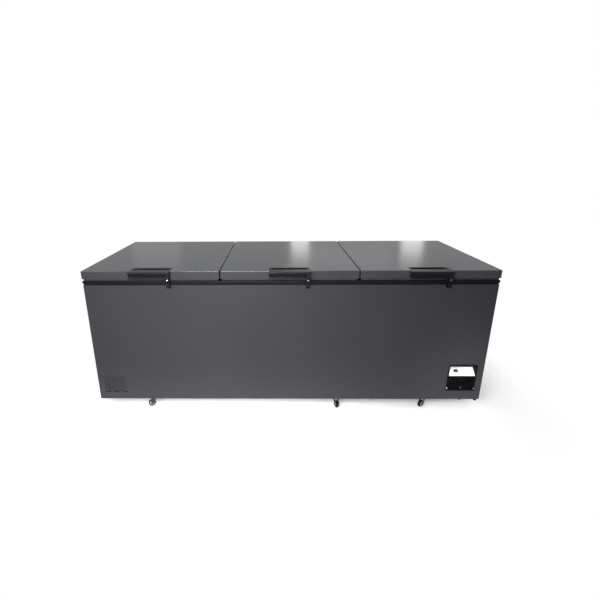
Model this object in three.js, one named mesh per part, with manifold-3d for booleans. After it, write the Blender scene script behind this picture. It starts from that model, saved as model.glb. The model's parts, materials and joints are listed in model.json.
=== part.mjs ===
// Triple-lid chest freezer on six casters. Millimetres, +Z up, +X along the length, front at -Y.
// The origin is on the floor, under the middle of the overall box.
import * as THREE from "three";
import { mergeVertices } from "three/addons/utils/BufferGeometryUtils.js";
import Module from "manifold-3d";

const wasm = await Module();
wasm.setup();

// ---------------------------------------------------------------- driving dimensions
const LENGTH = 2400; // over the lids
const LID_DEPTH = 950; // front to back over a lid
const HEIGHT = 916; // floor to lid top
const REACH = 505; // handle fronts and hinge backs, from the middle
const GAP = 0.3; // air between pieces that touch
const THROUGH = 5; // how far a cutting shape runs past the face it cuts
const ROUND = 18; // sides of a large round
const SMALL_ROUND = 12; // sides of a small round

const LID = { count: 3, between: 5, thick: 46, sheet: 1, tray: 2.5, plug: 18, plugGap: 10 };
const SEAL = { tall: 14, inset: 3, wide: 22, lip: 5 };
const RIM = { tall: 25, proud: 1, beam: 60, step: 10, recess: 3 };
const BODY = { length: 2396, depth: 942, bottom: 80, sheet: 1.2, wall: 70, floor: 70 };
const LINER = { sheet: 1.5 };
const BASE = { sheet: 2, turnUp: 14, pad: 64, padThick: 4, raceRadius: 17, raceTall: 4 };
const BAY = { left: 880, top: 335, wall: 60 }; // machine bay at the right end
const VENT = { left: -1161, top: 238, slot: 33, tall: 4, pitchX: 54, pitchZ: 17.3, rows: 7, columns: 3 };
const VENT_BOX = { margin: 14, deep: 26, sheet: 1.2 };
const MODULE = { left: 980, right: 1155, bottom: 142, top: 319, proud: 4, deep: 86, lip: 5 };
const PANEL = { bottom: 243, opening: 309, thick: 2.5, tilt: 50, setBack: 3, side: 7 };
const BUTTON = { count: 3, first: 1076, pitch: 22, along: 30, radius: 5.5, hole: 6.1, tall: 7, proud: 1.4 };
const GRILLE = { top: 236, bottom: 151, side: 10, thick: 5, slats: 8, slot: 4.5, clip: 6, clipTall: 15 };
const FAN = { x: 1067, y: -345, z: 200, radius: 68, hub: 18, deep: 20, blades: 5, pitch: 32 };
const SHAFT = { radius: 3, bore: 3.5 };
const MOTOR = { radius: 24, long: 45, stalk: 26, foot: 70, sheet: 2, space: 6 };
const POT = { x: 1040, y: 60, radius: 88, tall: 175, wall: 6, lift: 12, plate: 210, plateThick: 4 };
const COVER = { left: 898, right: 1182, bottom: 98, top: 322, lap: 8, sheet: 1.5, slots: 9, slot: 5 };
const GLAND = { x: 930, z: 125, bore: 4.5, neck: 8, flange: 13, tall: 9 };
const DRAIN = { x: 1080, y: -450, radius: 16, tall: 14, knob: 7 };
const STUD = { x: 1179, y: -456, radius: 8, tall: 14 };
const HANDLE = { half: 118, back: 79, tall: 42, bar: 59, slot: 40, slotHalf: 106, slotDeep: 32 };
const GRIP = { chamfer: 3.5, lean: 2, waist: 18, undercut: 11, ledge: 5, slope: 3.5 };
const LOCK = { offset: 104, drop: 3, radius: 8, hole: 8.5, proud: 1 };
const BOSS = { half: 12, bottom: 856, back: -485, below: 5 };
const CAM = { long: 22, wide: 7, thick: 3, front: -484.5, room: 3 };
const CATCH = { bottom: 817, top: 851, half: 9, foot: 12, plate: 3, lipFront: -491.5, lip: 3 };
const HINGE = { offset: 270, z: 893, reach: 9, half: 30, plate: 3, knuckle: 7, arm: 8, pin: 3, bore: 3.6 };
const HINGE_LEAF = { top: 912, bottom: 874, half: 30, knuckleHalf: 12 };
const HINGE_BASE = { top: 866, bottom: 770, armFoot: 800 };
const CASTER = { x: [-870, 307, 870], y: 418, radius: 22, wide: 18, trail: 20 };
const SWIVEL = [22, 98, 34, 200, 15, 320]; // degrees each caster has turned, front row first
const FORK = { head: 20, headTall: 5, inside: 11, cheek: 2.5, boss: 8, axle: 4, axleEnd: 2.5, bore: 4.6 };
const WHEEL = { sides: 16, hub: 14, dish: 3, shoulder: 3 };

// ---------------------------------------------------------------- heights and widths that follow
const lidBottom = HEIGHT - LID.thick;
const rimTop = lidBottom - SEAL.tall;
const bodyTop = rimTop - RIM.tall;
const lidWidth = (LENGTH - LID.between * (LID.count - 1)) / LID.count;
const lidPitch = lidWidth + LID.between;
const lidFront = -LID_DEPTH / 2;
const bodyFront = -BODY.depth / 2;
const bodyBack = BODY.depth / 2;
const bodyEnd = BODY.length / 2;
const cavityEnd = bodyEnd - BODY.wall;
const cavitySide = bodyBack - BODY.wall;
const cavityFloor = BODY.bottom + BODY.floor;
const stepLeft = BAY.left - BAY.wall;
const stepTop = BAY.top + BAY.wall;
const moduleFront = bodyFront - MODULE.proud;
const moduleBack = moduleFront + MODULE.deep;
const tilt = THREE.MathUtils.degToRad(PANEL.tilt);
const panelDown = PANEL.thick / Math.sin(tilt); // the panel's thickness, measured straight down
const panelFoot = PANEL.bottom + panelDown + GAP;
const lockHeight = BOSS.bottom + LOCK.hole + LOCK.drop;
const handleFront = -REACH + LOCK.proud;
const hingeLine = REACH - HINGE.reach;

const PAINT = { color: 0x4f4d51, roughness: 0.38, metalness: 0.35 };
const LID_PAINT = { color: 0x5a5b5e, roughness: 0.22, metalness: 0.4 };
const BLACK_PLASTIC = { color: 0x141416, roughness: 0.45, metalness: 0 };
const WHITE_PLASTIC = { color: 0xf2f2f0, roughness: 0.35, metalness: 0 };
const RUBBER = { color: 0x1a1a1b, roughness: 0.85, metalness: 0 };
const ZINC = { color: 0x8d9094, roughness: 0.4, metalness: 0.9 };
const CHROME = { color: 0xd8dadc, roughness: 0.12, metalness: 1 };
const FOAM = { color: 0xe2d3a3, roughness: 0.95, metalness: 0 };
const LINER_METAL = { color: 0xe6e8ea, roughness: 0.3, metalness: 0.5 };

// ---------------------------------------------------------------- solids
// A closed geometry as a solid that can be joined and cut.
function solid(geometry) {
  const bare = geometry.clone();
  bare.deleteAttribute("normal");
  bare.deleteAttribute("uv");
  const merged = mergeVertices(bare);
  return new wasm.Manifold(
    new wasm.Mesh({
      numProp: 3,
      vertProperties: merged.attributes.position.array,
      triVerts: new Uint32Array(merged.index.array),
    }),
  );
}

const join = (first, ...rest) => rest.reduce((made, next) => made.add(next), first);
const cut = (first, ...rest) => rest.reduce((made, next) => made.subtract(next), first);

// A box between two corners.
function box([x0, y0, z0], [x1, y1, z1]) {
  const geometry = new THREE.BoxGeometry(x1 - x0, y1 - y0, z1 - z0);
  return solid(geometry.translate((x0 + x1) / 2, (y0 + y1) / 2, (z0 + z1) / 2));
}

// A closed profile of [radius, height] points turned about the Z axis.
function turned(profile, sides = ROUND, start = 0) {
  const points = profile.map(([r, h]) => new THREE.Vector2(r, h));
  return solid(new THREE.LatheGeometry(points, sides, start).rotateX(Math.PI / 2));
}

// A disc or rod of one radius, from bottom to top along Z.
const rod = (radius, bottom, top, sides = SMALL_ROUND) =>
  turned([[0, bottom], [radius, bottom], [radius, top], [0, top]], sides);

// The same rod lying along Y or X, its axis through the point given by the other two coordinates.
const rodAlongY = (radius, y0, y1, x, z, sides = SMALL_ROUND) =>
  rod(radius, -y1, -y0, sides).rotate([90, 0, 0]).translate([x, 0, z]);
const rodAlongX = (radius, x0, x1, y, z, sides = SMALL_ROUND) =>
  rod(radius, x0, x1, sides).rotate([0, 90, 0]).translate([0, y, z]);

// An outline of [y, z] points given depth from x0 to x1.
function slabAlongX(outline, x0, x1) {
  const shape = new THREE.Shape(outline.map(([y, z]) => new THREE.Vector2(y, z)));
  const geometry = new THREE.ExtrudeGeometry(shape, { depth: x1 - x0, bevelEnabled: false });
  return solid(geometry.rotateX(Math.PI / 2).rotateZ(Math.PI / 2).translate(x0, 0, 0));
}

// An outline of [x, z] points given depth from y0 to y1.
function slabAlongY(outline, y0, y1) {
  const shape = new THREE.Shape(outline.map(([x, z]) => new THREE.Vector2(x, z)));
  const geometry = new THREE.ExtrudeGeometry(shape, { depth: y1 - y0, bevelEnabled: false });
  return solid(geometry.rotateX(Math.PI / 2).translate(0, y1, 0));
}

// A named mesh with its own material.
function piece(name, made, finish) {
  const mesh = made.getMesh();
  const geometry = new THREE.BufferGeometry();
  geometry.setAttribute("position", new THREE.BufferAttribute(mesh.vertProperties, mesh.numProp));
  geometry.setIndex(new THREE.BufferAttribute(mesh.triVerts, 1));
  const part = new THREE.Mesh(geometry, new THREE.MeshStandardMaterial(finish));
  part.name = name;
  return part;
}

// ---------------------------------------------------------------- cabinet
// Slots pressed through the lower left of the front: full rows, with shorter rows between them.
function ventSlots() {
  const slots = [];
  for (let row = 0; row < 2 * VENT.rows - 1; row += 1) {
    const between = row % 2;
    const top = VENT.top - (row * VENT.pitchZ) / 2;
    for (let column = 0; column < VENT.columns - between; column += 1) {
      const left = VENT.left + (column + between / 2) * VENT.pitchX;
      slots.push(
        box(
          [left, bodyFront - THROUGH, top - VENT.tall],
          [left + VENT.slot, bodyFront + THROUGH, top],
        ),
      );
    }
  }
  return slots;
}

// Painted steel wrapped round the four sides, open at the top and bottom.
function cabinetShell() {
  const outside = box([-bodyEnd, bodyFront, BODY.bottom], [bodyEnd, bodyBack, bodyTop]);
  const inside = box(
    [-bodyEnd + BODY.sheet, bodyFront + BODY.sheet, BODY.bottom - THROUGH],
    [bodyEnd - BODY.sheet, bodyBack - BODY.sheet, bodyTop + THROUGH],
  );
  const moduleHole = box(
    [MODULE.left + MODULE.lip, bodyFront - THROUGH, MODULE.bottom + MODULE.lip],
    [MODULE.right - MODULE.lip, bodyFront + THROUGH, MODULE.top - MODULE.lip],
  );
  const bayHole = box(
    [COVER.left, bodyBack - THROUGH, COVER.bottom],
    [COVER.right, bodyBack + THROUGH, COVER.top],
  );
  return cut(outside, inside, moduleHole, bayHole, ...ventSlots());
}

// Turned-up steel tray with the six caster pads welded under it.
function basePan() {
  const edge = BODY.sheet + GAP;
  const low = [-bodyEnd + edge, bodyFront + edge, BODY.bottom];
  const high = [bodyEnd - edge, bodyBack - edge, BODY.bottom + BASE.turnUp];
  const tray = cut(
    box(low, high),
    box(
      [low[0] + BASE.sheet, low[1] + BASE.sheet, BODY.bottom + BASE.sheet],
      [high[0] - BASE.sheet, high[1] - BASE.sheet, high[2] + THROUGH],
    ),
  );
  const padBottom = BODY.bottom - BASE.padThick;
  const half = BASE.pad / 2;
  const pads = casterPlaces().flatMap(([x, y]) => [
    box([x - half, y - half, padBottom], [x + half, y + half, BODY.bottom + BASE.sheet / 2]),
    rod(BASE.raceRadius, padBottom - BASE.raceTall, padBottom + GAP, ROUND).translate([x, y, 0]),
  ]);
  const stud = rod(STUD.radius, BODY.bottom - STUD.tall, BODY.bottom + BASE.sheet / 2);
  return join(tray, ...pads, stud.translate([STUD.x, STUD.y, 0]));
}

// The storage space with its floor raised over the machine bay, grown by a margin on every side.
function cavity(margin, top) {
  const main = box(
    [-cavityEnd - margin, -cavitySide - margin, cavityFloor - margin],
    [stepLeft + margin, cavitySide + margin, top],
  );
  const overStep = box(
    [stepLeft - THROUGH, -cavitySide - margin, stepTop - margin],
    [cavityEnd + margin, cavitySide + margin, top],
  );
  return join(main, overStep);
}

function innerLiner() {
  return cut(cavity(LINER.sheet, bodyTop), cavity(0, bodyTop + THROUGH));
}

function ventBoxSpace(margin) {
  const width = (VENT.columns - 1) * VENT.pitchX + VENT.slot;
  const tall = (VENT.rows - 1) * VENT.pitchZ + VENT.tall;
  const edge = VENT_BOX.margin + margin;
  const front = bodyFront + BODY.sheet + GAP;
  return {
    low: [VENT.left - edge, front, VENT.top - tall - edge],
    high: [VENT.left + width + edge, front + VENT_BOX.deep + margin, VENT.top + edge],
  };
}

// Shallow tray behind the slots, open to the front.
function ventBox() {
  const outer = ventBoxSpace(0);
  const wall = VENT_BOX.sheet;
  const [x0, y0, z0] = outer.low;
  const [x1, y1, z1] = outer.high;
  return cut(
    box(outer.low, outer.high),
    box([x0 + wall, y0 - THROUGH, z0 + wall], [x1 - wall, y1 - wall, z1 - wall]),
  );
}

// Foam poured between the shell and the liner, leaving the machine bay and the vent box free.
function cabinetFoam() {
  const edge = BODY.sheet + GAP;
  const floor = BODY.bottom + BASE.turnUp + GAP;
  const block = box([-bodyEnd + edge, bodyFront + edge, floor], [bodyEnd - edge, bodyBack - edge, bodyTop]);
  const lower = box(
    [
      -bodyEnd + edge + BASE.sheet + GAP,
      bodyFront + edge + BASE.sheet + GAP,
      BODY.bottom + BASE.sheet + GAP,
    ],
    [BAY.left, bodyBack - edge - BASE.sheet - GAP, floor + THROUGH],
  );
  const bay = box([BAY.left, bodyFront, BODY.bottom], [bodyEnd, bodyBack, BAY.top]);
  const vent = ventBoxSpace(GAP);
  const ventLow = [vent.low[0], bodyFront, vent.low[2]];
  return cut(
    join(cut(block, bay), lower),
    cavity(LINER.sheet + GAP, bodyTop + THROUGH),
    box(ventLow, vent.high),
  );
}

// The three mouths in the rim, as [left, right] along X.
function mouths() {
  const beams = [-1, 1].map((side) => (side * lidPitch) / 2);
  const half = RIM.beam / 2;
  return [
    [-cavityEnd, beams[0] - half],
    [beams[0] + half, beams[1] - half],
    [beams[1] + half, cavityEnd],
  ];
}

// Plastic frame that caps the walls, with a beam between each two lids and a stepped lower edge.
function rimFrame() {
  const end = bodyEnd + RIM.proud;
  const side = bodyBack + RIM.proud;
  const stepUp = bodyTop + RIM.step;
  const lower = box(
    [-bodyEnd + RIM.recess, bodyFront + RIM.recess, bodyTop + GAP],
    [bodyEnd - RIM.recess, bodyBack - RIM.recess, stepUp + GAP],
  );
  const upper = box([-end, -side, stepUp], [end, side, rimTop]);
  const holes = mouths().map(([left, right]) =>
    box([left, -cavitySide, bodyTop - THROUGH], [right, cavitySide, rimTop + THROUGH]),
  );
  return cut(join(lower, upper), ...holes);
}

// ---------------------------------------------------------------- control module and machine bay
// Bezel on the front sheet with a duct behind it, parted by a shelf.
function controlHousing() {
  const inset = MODULE.lip + GAP;
  const bezel = box(
    [MODULE.left, moduleFront, MODULE.bottom],
    [MODULE.right, bodyFront - GAP, MODULE.top],
  );
  const duct = box(
    [MODULE.left + inset, moduleFront, MODULE.bottom + inset],
    [MODULE.right - inset, moduleBack, MODULE.top - inset],
  );
  const upper = box(
    [MODULE.left + PANEL.side, moduleFront - THROUGH, PANEL.bottom],
    [MODULE.right - PANEL.side, moduleBack + THROUGH, PANEL.opening],
  );
  const lower = box(
    [MODULE.left + GRILLE.side, moduleFront - THROUGH, GRILLE.bottom],
    [MODULE.right - GRILLE.side, moduleBack + THROUGH, GRILLE.top],
  );
  return cut(join(bezel, duct), upper, lower);
}

// Where the buttons sit: X of each, in a row across the sloping face.
const buttonPlaces = () => Array.from({ length: BUTTON.count }, (_, i) => BUTTON.first + i * BUTTON.pitch);

// Lays a shape drawn on the XY plane, with Z as its outward side, on the sloping face.
const onPanel = (made) =>
  made.rotate([90 - PANEL.tilt, 0, 0]).translate([0, moduleFront + PANEL.setBack, panelFoot]);

// White face that leans back from its foot to the top of the opening.
function controlPanel() {
  const front = moduleFront + PANEL.setBack;
  const top = PANEL.opening - GAP;
  const back = front + (top - panelFoot) * Math.tan(tilt);
  const outline = [
    [front, panelFoot],
    [back, top],
    [back, top - panelDown],
    [front, panelFoot - panelDown],
  ];
  const left = MODULE.left + PANEL.side + GAP;
  const right = MODULE.right - PANEL.side - GAP;
  const holes = buttonPlaces().map((x) =>
    onPanel(rod(BUTTON.hole, -THROUGH, THROUGH).translate([x, BUTTON.along, 0])),
  );
  return cut(slabAlongX(outline, left, right), ...holes);
}

function panelButton(x) {
  const stem = rod(BUTTON.radius, BUTTON.proud - BUTTON.tall, BUTTON.proud);
  return onPanel(stem.translate([x, BUTTON.along, 0]));
}

// Louvred insert in the lower half, with its release clip.
function frontGrille() {
  const left = MODULE.left + GRILLE.side + GAP;
  const right = MODULE.right - GRILLE.side - GAP;
  const bottom = GRILLE.bottom + GAP;
  const top = GRILLE.top - GAP;
  const front = moduleFront + PANEL.setBack;
  const pitch = (top - bottom) / GRILLE.slats;
  const slots = Array.from({ length: GRILLE.slats }, (_, i) => {
    const middle = bottom + (i + 0.5) * pitch;
    return box(
      [left + GRILLE.side, front - THROUGH, middle - GRILLE.slot / 2],
      [right - GRILLE.side, front + THROUGH + GRILLE.thick, middle + GRILLE.slot / 2],
    );
  });
  const plate = box([left, front, bottom], [right, front + GRILLE.thick, top]);
  const middle = (left + right) / 2;
  const clip = box(
    [middle - GRILLE.clip / 2, front - PANEL.setBack, bottom],
    [middle + GRILLE.clip / 2, front + GRILLE.thick, bottom + GRILLE.clipTall],
  );
  return join(cut(plate, ...slots), clip);
}

function fanBracket() {
  const floor = BODY.bottom + BASE.sheet + GAP;
  const motorFront = FAN.y + FAN.deep / 2 + MOTOR.space;
  const motorBack = motorFront + MOTOR.long;
  const middle = (motorFront + motorBack) / 2;
  const halfStalk = MOTOR.stalk / 2;
  const halfFoot = MOTOR.foot / 2;
  return join(
    rodAlongY(MOTOR.radius, motorFront, motorBack, FAN.x, FAN.z),
    rodAlongY(SHAFT.radius, FAN.y - FAN.deep / 2, motorFront + THROUGH, FAN.x, FAN.z),
    box([FAN.x - halfStalk, middle - halfStalk, floor], [FAN.x + halfStalk, middle + halfStalk, FAN.z]),
    box(
      [FAN.x - halfFoot, middle - halfFoot, floor],
      [FAN.x + halfFoot, middle + halfFoot, floor + MOTOR.sheet],
    ),
  );
}

function fanBlade() {
  const half = FAN.deep / 2;
  const bladeHalf = FAN.hub;
  const blades = Array.from({ length: FAN.blades }, (_, i) =>
    box([FAN.hub / 2, -bladeHalf, -MOTOR.sheet / 2], [FAN.radius, bladeHalf, MOTOR.sheet / 2])
      .rotate([FAN.pitch, 0, 0])
      .rotate([0, 0, (360 * i) / FAN.blades]),
  );
  const made = join(rod(FAN.hub, -half, half, ROUND), ...blades);
  const bored = cut(made, rod(SHAFT.bore, -FAN.hub, FAN.hub));
  return bored.rotate([90, 0, 0]).translate([FAN.x, FAN.y, FAN.z]);
}

// Hermetic compressor: a domed steel pot, open underneath, on its foot plate and grommets.
function compressor() {
  const floor = BODY.bottom + BASE.sheet + GAP;
  const bottom = floor + POT.lift;
  const top = bottom + POT.tall;
  const inner = POT.radius - POT.wall;
  const shoulder = top - POT.radius / 2;
  const pot = turned([
    [inner, bottom],
    [POT.radius, bottom],
    [POT.radius, shoulder],
    [POT.radius * Math.cos(Math.PI / 6), top - POT.radius / 5],
    [POT.radius / 2, top],
    [0, top],
    [0, top - POT.wall],
    [POT.radius / 2 - POT.wall, top - POT.wall],
    [inner, shoulder],
    [inner, bottom],
  ]);
  const half = POT.plate / 2;
  const plate = cut(
    box([-half, -half, bottom - POT.plateThick], [half, half, bottom + POT.plateThick]),
    rod(inner, floor, bottom + POT.tall / 2, ROUND),
  );
  const reach = half - POT.lift;
  const grommets = [-reach, reach].flatMap((x) =>
    [-reach, reach].map((y) => rod(POT.lift, floor, bottom).translate([x, y, 0])),
  );
  return join(pot, plate, ...grommets).translate([POT.x, POT.y, 0]);
}

// Louvred steel cover over the bay's opening at the back.
function machineCover() {
  const low = bodyBack + GAP;
  const high = low + COVER.sheet;
  const plate = box(
    [COVER.left - COVER.lap, low, COVER.bottom - COVER.lap],
    [COVER.right + COVER.lap, high, COVER.top + COVER.lap],
  );
  const pitch = (COVER.top - COVER.bottom) / 2 / COVER.slots;
  const slots = Array.from({ length: COVER.slots }, (_, i) => {
    const middle = COVER.top - (i + 1) * pitch;
    return box(
      [COVER.left + 4 * COVER.lap, low - THROUGH, middle - COVER.slot / 2],
      [COVER.right - 4 * COVER.lap, high + THROUGH, middle + COVER.slot / 2],
    );
  });
  return cut(plate, ...slots, rodAlongY(GLAND.neck + GAP, low - THROUGH, high + THROUGH, GLAND.x, GLAND.z));
}

// Bushing for the supply lead, through the cover.
function cableGland() {
  const inside = bodyBack - GLAND.tall;
  const face = bodyBack + COVER.sheet + 2 * GAP;
  const outside = face + GLAND.tall;
  return cut(
    join(
      rodAlongY(GLAND.neck * Math.cos(Math.PI / SMALL_ROUND), inside, face + GAP, GLAND.x, GLAND.z),
      rodAlongY(GLAND.flange, face, outside, GLAND.x, GLAND.z),
    ),
    rodAlongY(GLAND.bore, inside - THROUGH, outside + THROUGH, GLAND.x, GLAND.z),
  );
}

function drainCap() {
  const top = BODY.bottom - GAP;
  return join(
    rod(DRAIN.radius, top - DRAIN.tall / 2, top, ROUND),
    rod(DRAIN.knob, top - DRAIN.tall, top - DRAIN.tall / 4),
  ).translate([DRAIN.x, DRAIN.y, 0]);
}

// ---------------------------------------------------------------- lids, drawn about the lid's own middle
// Painted steel pan with a notch in its front edge for the handle.
function lidSkin() {
  const half = lidWidth / 2;
  const wall = LID.sheet;
  const notch = HANDLE.half + GAP;
  return cut(
    box([-half, lidFront, lidBottom], [half, -lidFront, HEIGHT]),
    box(
      [-half + wall, lidFront + wall, lidBottom - THROUGH],
      [half - wall, -lidFront - wall, HEIGHT - wall],
    ),
    box(
      [-notch, lidFront - THROUGH, HEIGHT - HANDLE.tall - GAP],
      [notch, lidFront + HANDLE.back + GAP, HEIGHT + THROUGH],
    ),
  );
}

// The plug that enters one mouth, as its low and high corners.
function plugSpace([left, right], shrink) {
  const inset = LID.plugGap + shrink;
  const side = cavitySide - inset;
  return { x0: left + inset, x1: right - inset, side };
}

// White inner tray: a flat flange round a plug that enters the mouth.
function lidTray(mouth) {
  const half = lidWidth / 2 - LID.sheet - GAP;
  const side = -lidFront - LID.sheet - GAP;
  const outer = plugSpace(mouth, 0);
  const inner = plugSpace(mouth, LID.tray);
  const plugBottom = lidBottom - LID.plug;
  return cut(
    join(
      box([-half, -side, lidBottom], [half, side, lidBottom + LID.tray]),
      box([outer.x0, -outer.side, plugBottom], [outer.x1, outer.side, lidBottom + LID.tray]),
    ),
    box([inner.x0, -inner.side, plugBottom + LID.tray], [inner.x1, inner.side, HEIGHT]),
  );
}

// Seal round the lid's underside: a flat base and a narrower lip that meets the rim.
function lidGasket() {
  const half = lidWidth / 2 - SEAL.inset;
  const side = -lidFront - SEAL.inset;
  const top = lidBottom - GAP;
  const bottom = rimTop + GAP;
  const waist = (top + bottom) / 2;
  const ring = (inset, wide, low, high) =>
    cut(
      box([-half + inset, -side + inset, low], [half - inset, side - inset, high]),
      box(
        [-half + inset + wide, -side + inset + wide, low - THROUGH],
        [half - inset - wide, side - inset - wide, high + THROUGH],
      ),
    );
  const lipWide = SEAL.wide - 2 * SEAL.lip;
  return join(ring(0, SEAL.wide, waist, top), ring(SEAL.lip, lipWide, bottom, waist + GAP));
}

// Moulded grip let into the lid's front edge: a bar to lift by, a finger pocket behind it,
// and a boss below for the lock.
function lidHandle() {
  const bottom = HEIGHT - HANDLE.tall;
  const back = lidFront + HANDLE.back;
  const barBack = handleFront + HANDLE.bar;
  const waist = bottom + GRIP.waist;
  const under = handleFront + GRIP.undercut;
  const ledge = handleFront + GRIP.ledge;
  const outline = [
    [handleFront + GRIP.chamfer, HEIGHT],
    [handleFront, HEIGHT - GRIP.chamfer],
    [handleFront + GRIP.lean, waist + GRIP.slope],
    [under, waist - GRIP.slope],
    [under, bottom + GRIP.ledge + GRIP.slope],
    [ledge, bottom + GRIP.ledge],
    [ledge, bottom],
    [back, bottom],
    [back, HEIGHT],
  ];
  const pocket = box(
    [-HANDLE.slotHalf, barBack, HEIGHT - HANDLE.slotDeep],
    [HANDLE.slotHalf, barBack + HANDLE.slot, HEIGHT + THROUGH],
  );
  const boss = box(
    [LOCK.offset - BOSS.half, handleFront, BOSS.bottom],
    [LOCK.offset + BOSS.half, BOSS.back, HEIGHT - BOSS.below],
  );
  const bore = rodAlongY(LOCK.hole, handleFront - THROUGH, BOSS.back + THROUGH, LOCK.offset, lockHeight);
  const camRoom = box(
    [LOCK.offset - CAM.long - CAM.room, BOSS.back, lockHeight - BOSS.half],
    [LOCK.offset + BOSS.half, BOSS.back + THROUGH, lockHeight + BOSS.half],
  );
  return cut(join(slabAlongX(outline, -HANDLE.half, HANDLE.half), boss), pocket, bore, camRoom);
}

// Lock barrel with its cam behind it; at rest the cam lies level, clear of the catch.
function lockBarrel() {
  const z = lockHeight;
  const front = handleFront - LOCK.proud;
  const camBack = CAM.front + CAM.thick;
  return join(
    rodAlongY(LOCK.radius, front, CAM.front + GAP, LOCK.offset, z, ROUND),
    box(
      [LOCK.offset - CAM.long, CAM.front, z - CAM.wide / 2],
      [LOCK.offset + CAM.wide / 2, camBack, z + CAM.wide / 2],
    ),
  );
}

// Keeper on the cabinet under each lock: the cam swings down behind its lip.
function lockCatch() {
  const back = bodyFront - RIM.proud - GAP;
  const lipBack = CATCH.lipFront + CATCH.lip;
  const outline = (half, foot) => [
    [-foot, CATCH.bottom],
    [foot, CATCH.bottom],
    [half, CATCH.top],
    [-half, CATCH.top],
  ];
  const whole = slabAlongY(outline(CATCH.half, CATCH.foot), CATCH.lipFront, back);
  const slot = box(
    [-CATCH.foot - THROUGH, lipBack, CATCH.bottom + CATCH.half],
    [CATCH.half - CATCH.plate, back - CATCH.plate, CATCH.top + THROUGH],
  );
  return cut(whole, slot);
}

// ---------------------------------------------------------------- hinges, drawn about the hinge's middle
const pinLine = (radius, half) => rodAlongX(radius, -half, half, hingeLine, HINGE.z);

// Plate on the lid's back edge with one knuckle in the middle.
function hingeLeaf() {
  const face = -lidFront + GAP;
  const plate = box(
    [-HINGE_LEAF.half, face, HINGE_LEAF.bottom],
    [HINGE_LEAF.half, face + HINGE.plate, HINGE_LEAF.top],
  );
  const half = HINGE_LEAF.knuckleHalf;
  const web = box(
    [-half, face, HINGE.z - HINGE.knuckle / 2],
    [half, hingeLine, HINGE.z + HINGE.knuckle / 2],
  );
  return cut(join(plate, web, pinLine(HINGE.knuckle, half)), pinLine(HINGE.bore, half + THROUGH));
}

// Plate on the cabinet's back with two arms that carry the pin.
function hingeBase() {
  const face = bodyBack + RIM.proud + GAP;
  const plate = box(
    [-HINGE.half, face, HINGE_BASE.bottom],
    [HINGE.half, face + HINGE.plate, HINGE_BASE.top],
  );
  const inner = HINGE_LEAF.knuckleHalf + GAP * 2;
  const outline = [
    [face, HINGE_BASE.armFoot],
    [hingeLine + HINGE.reach, HINGE.z - HINGE.reach],
    [hingeLine + HINGE.reach, HINGE.z],
    [hingeLine - HINGE.reach, HINGE.z],
    [face + HINGE.reach, HINGE_BASE.top],
    [face, HINGE_BASE.top],
  ];
  const arms = [-inner - HINGE.arm, inner].map((x) =>
    join(
      slabAlongX(outline, x, x + HINGE.arm),
      rodAlongX(HINGE.reach, x, x + HINGE.arm, hingeLine, HINGE.z),
    ),
  );
  return join(plate, ...arms, pinLine(HINGE.pin, inner + HINGE.arm / 2));
}

// ---------------------------------------------------------------- casters, drawn about the swivel axis
const casterPlaces = () => [-1, 1].flatMap((side) => CASTER.x.map((x) => [x, side * CASTER.y]));

// Pressed yoke with its axle: the head turns on the pad above it.
function casterFork() {
  const headTop = BODY.bottom - BASE.padThick - BASE.raceTall - GAP;
  const headBottom = headTop - FORK.headTall;
  const outside = FORK.inside + FORK.cheek;
  const cheek = [
    [-FORK.head / 2, headTop],
    [-CASTER.trail - FORK.boss, CASTER.radius + FORK.cheek],
    [-CASTER.trail - FORK.boss / 2, CASTER.radius - FORK.boss],
    [-CASTER.trail + FORK.boss / 2, CASTER.radius - FORK.boss],
    [-CASTER.trail + FORK.boss, CASTER.radius],
    [FORK.head / 2, headBottom - FORK.headTall],
    [FORK.head / 2, headTop],
  ].reverse();
  const axleHalf = outside + FORK.axleEnd;
  return join(
    rod(FORK.head, headBottom, headTop, ROUND),
    slabAlongY(cheek, FORK.inside, outside),
    slabAlongY(cheek, -outside, -FORK.inside),
    rodAlongY(FORK.axle, -axleHalf, axleHalf, -CASTER.trail, CASTER.radius),
  );
}

// Tyre and dished hub in one, faceted so that a flat meets the floor.
function casterWheel() {
  const half = CASTER.wide / 2;
  const corner = Math.cos(Math.PI / WHEEL.sides);
  const rim = CASTER.radius / corner;
  const profile = [
    [FORK.bore, -half],
    [WHEEL.hub / 2, -half],
    [WHEEL.hub, -half + WHEEL.dish],
    [rim - WHEEL.shoulder, -half],
    [rim, -half + WHEEL.shoulder],
    [rim, half - WHEEL.shoulder],
    [rim - WHEEL.shoulder, half],
    [WHEEL.hub, half - WHEEL.dish],
    [WHEEL.hub / 2, half],
    [FORK.bore, half],
    [FORK.bore, -half],
  ];
  const wheel = turned(profile, WHEEL.sides, Math.PI / WHEEL.sides);
  return wheel.rotate([90, 0, 0]).translate([-CASTER.trail, 0, CASTER.radius]);
}

// ---------------------------------------------------------------- assembly
const freezer = new THREE.Group();

freezer.add(
  piece("cabinet_shell", cabinetShell(), PAINT),
  piece("base_pan", basePan(), ZINC),
  piece("inner_liner", innerLiner(), LINER_METAL),
  piece("cabinet_foam", cabinetFoam(), FOAM),
  piece("vent_box", ventBox(), BLACK_PLASTIC),
  piece("rim_frame", rimFrame(), BLACK_PLASTIC),
  piece("control_housing", controlHousing(), BLACK_PLASTIC),
  piece("control_panel", controlPanel(), WHITE_PLASTIC),
  piece("front_grille", frontGrille(), BLACK_PLASTIC),
  piece("fan_bracket", fanBracket(), ZINC),
  piece("fan_blade", fanBlade(), BLACK_PLASTIC),
  piece("compressor", compressor(), RUBBER),
  piece("machine_cover", machineCover(), PAINT),
  piece("cable_gland", cableGland(), BLACK_PLASTIC),
  piece("drain_cap", drainCap(), BLACK_PLASTIC),
);
buttonPlaces().forEach((x, i) => freezer.add(piece(`button_${i + 1}`, panelButton(x), WHITE_PLASTIC)));

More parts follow.
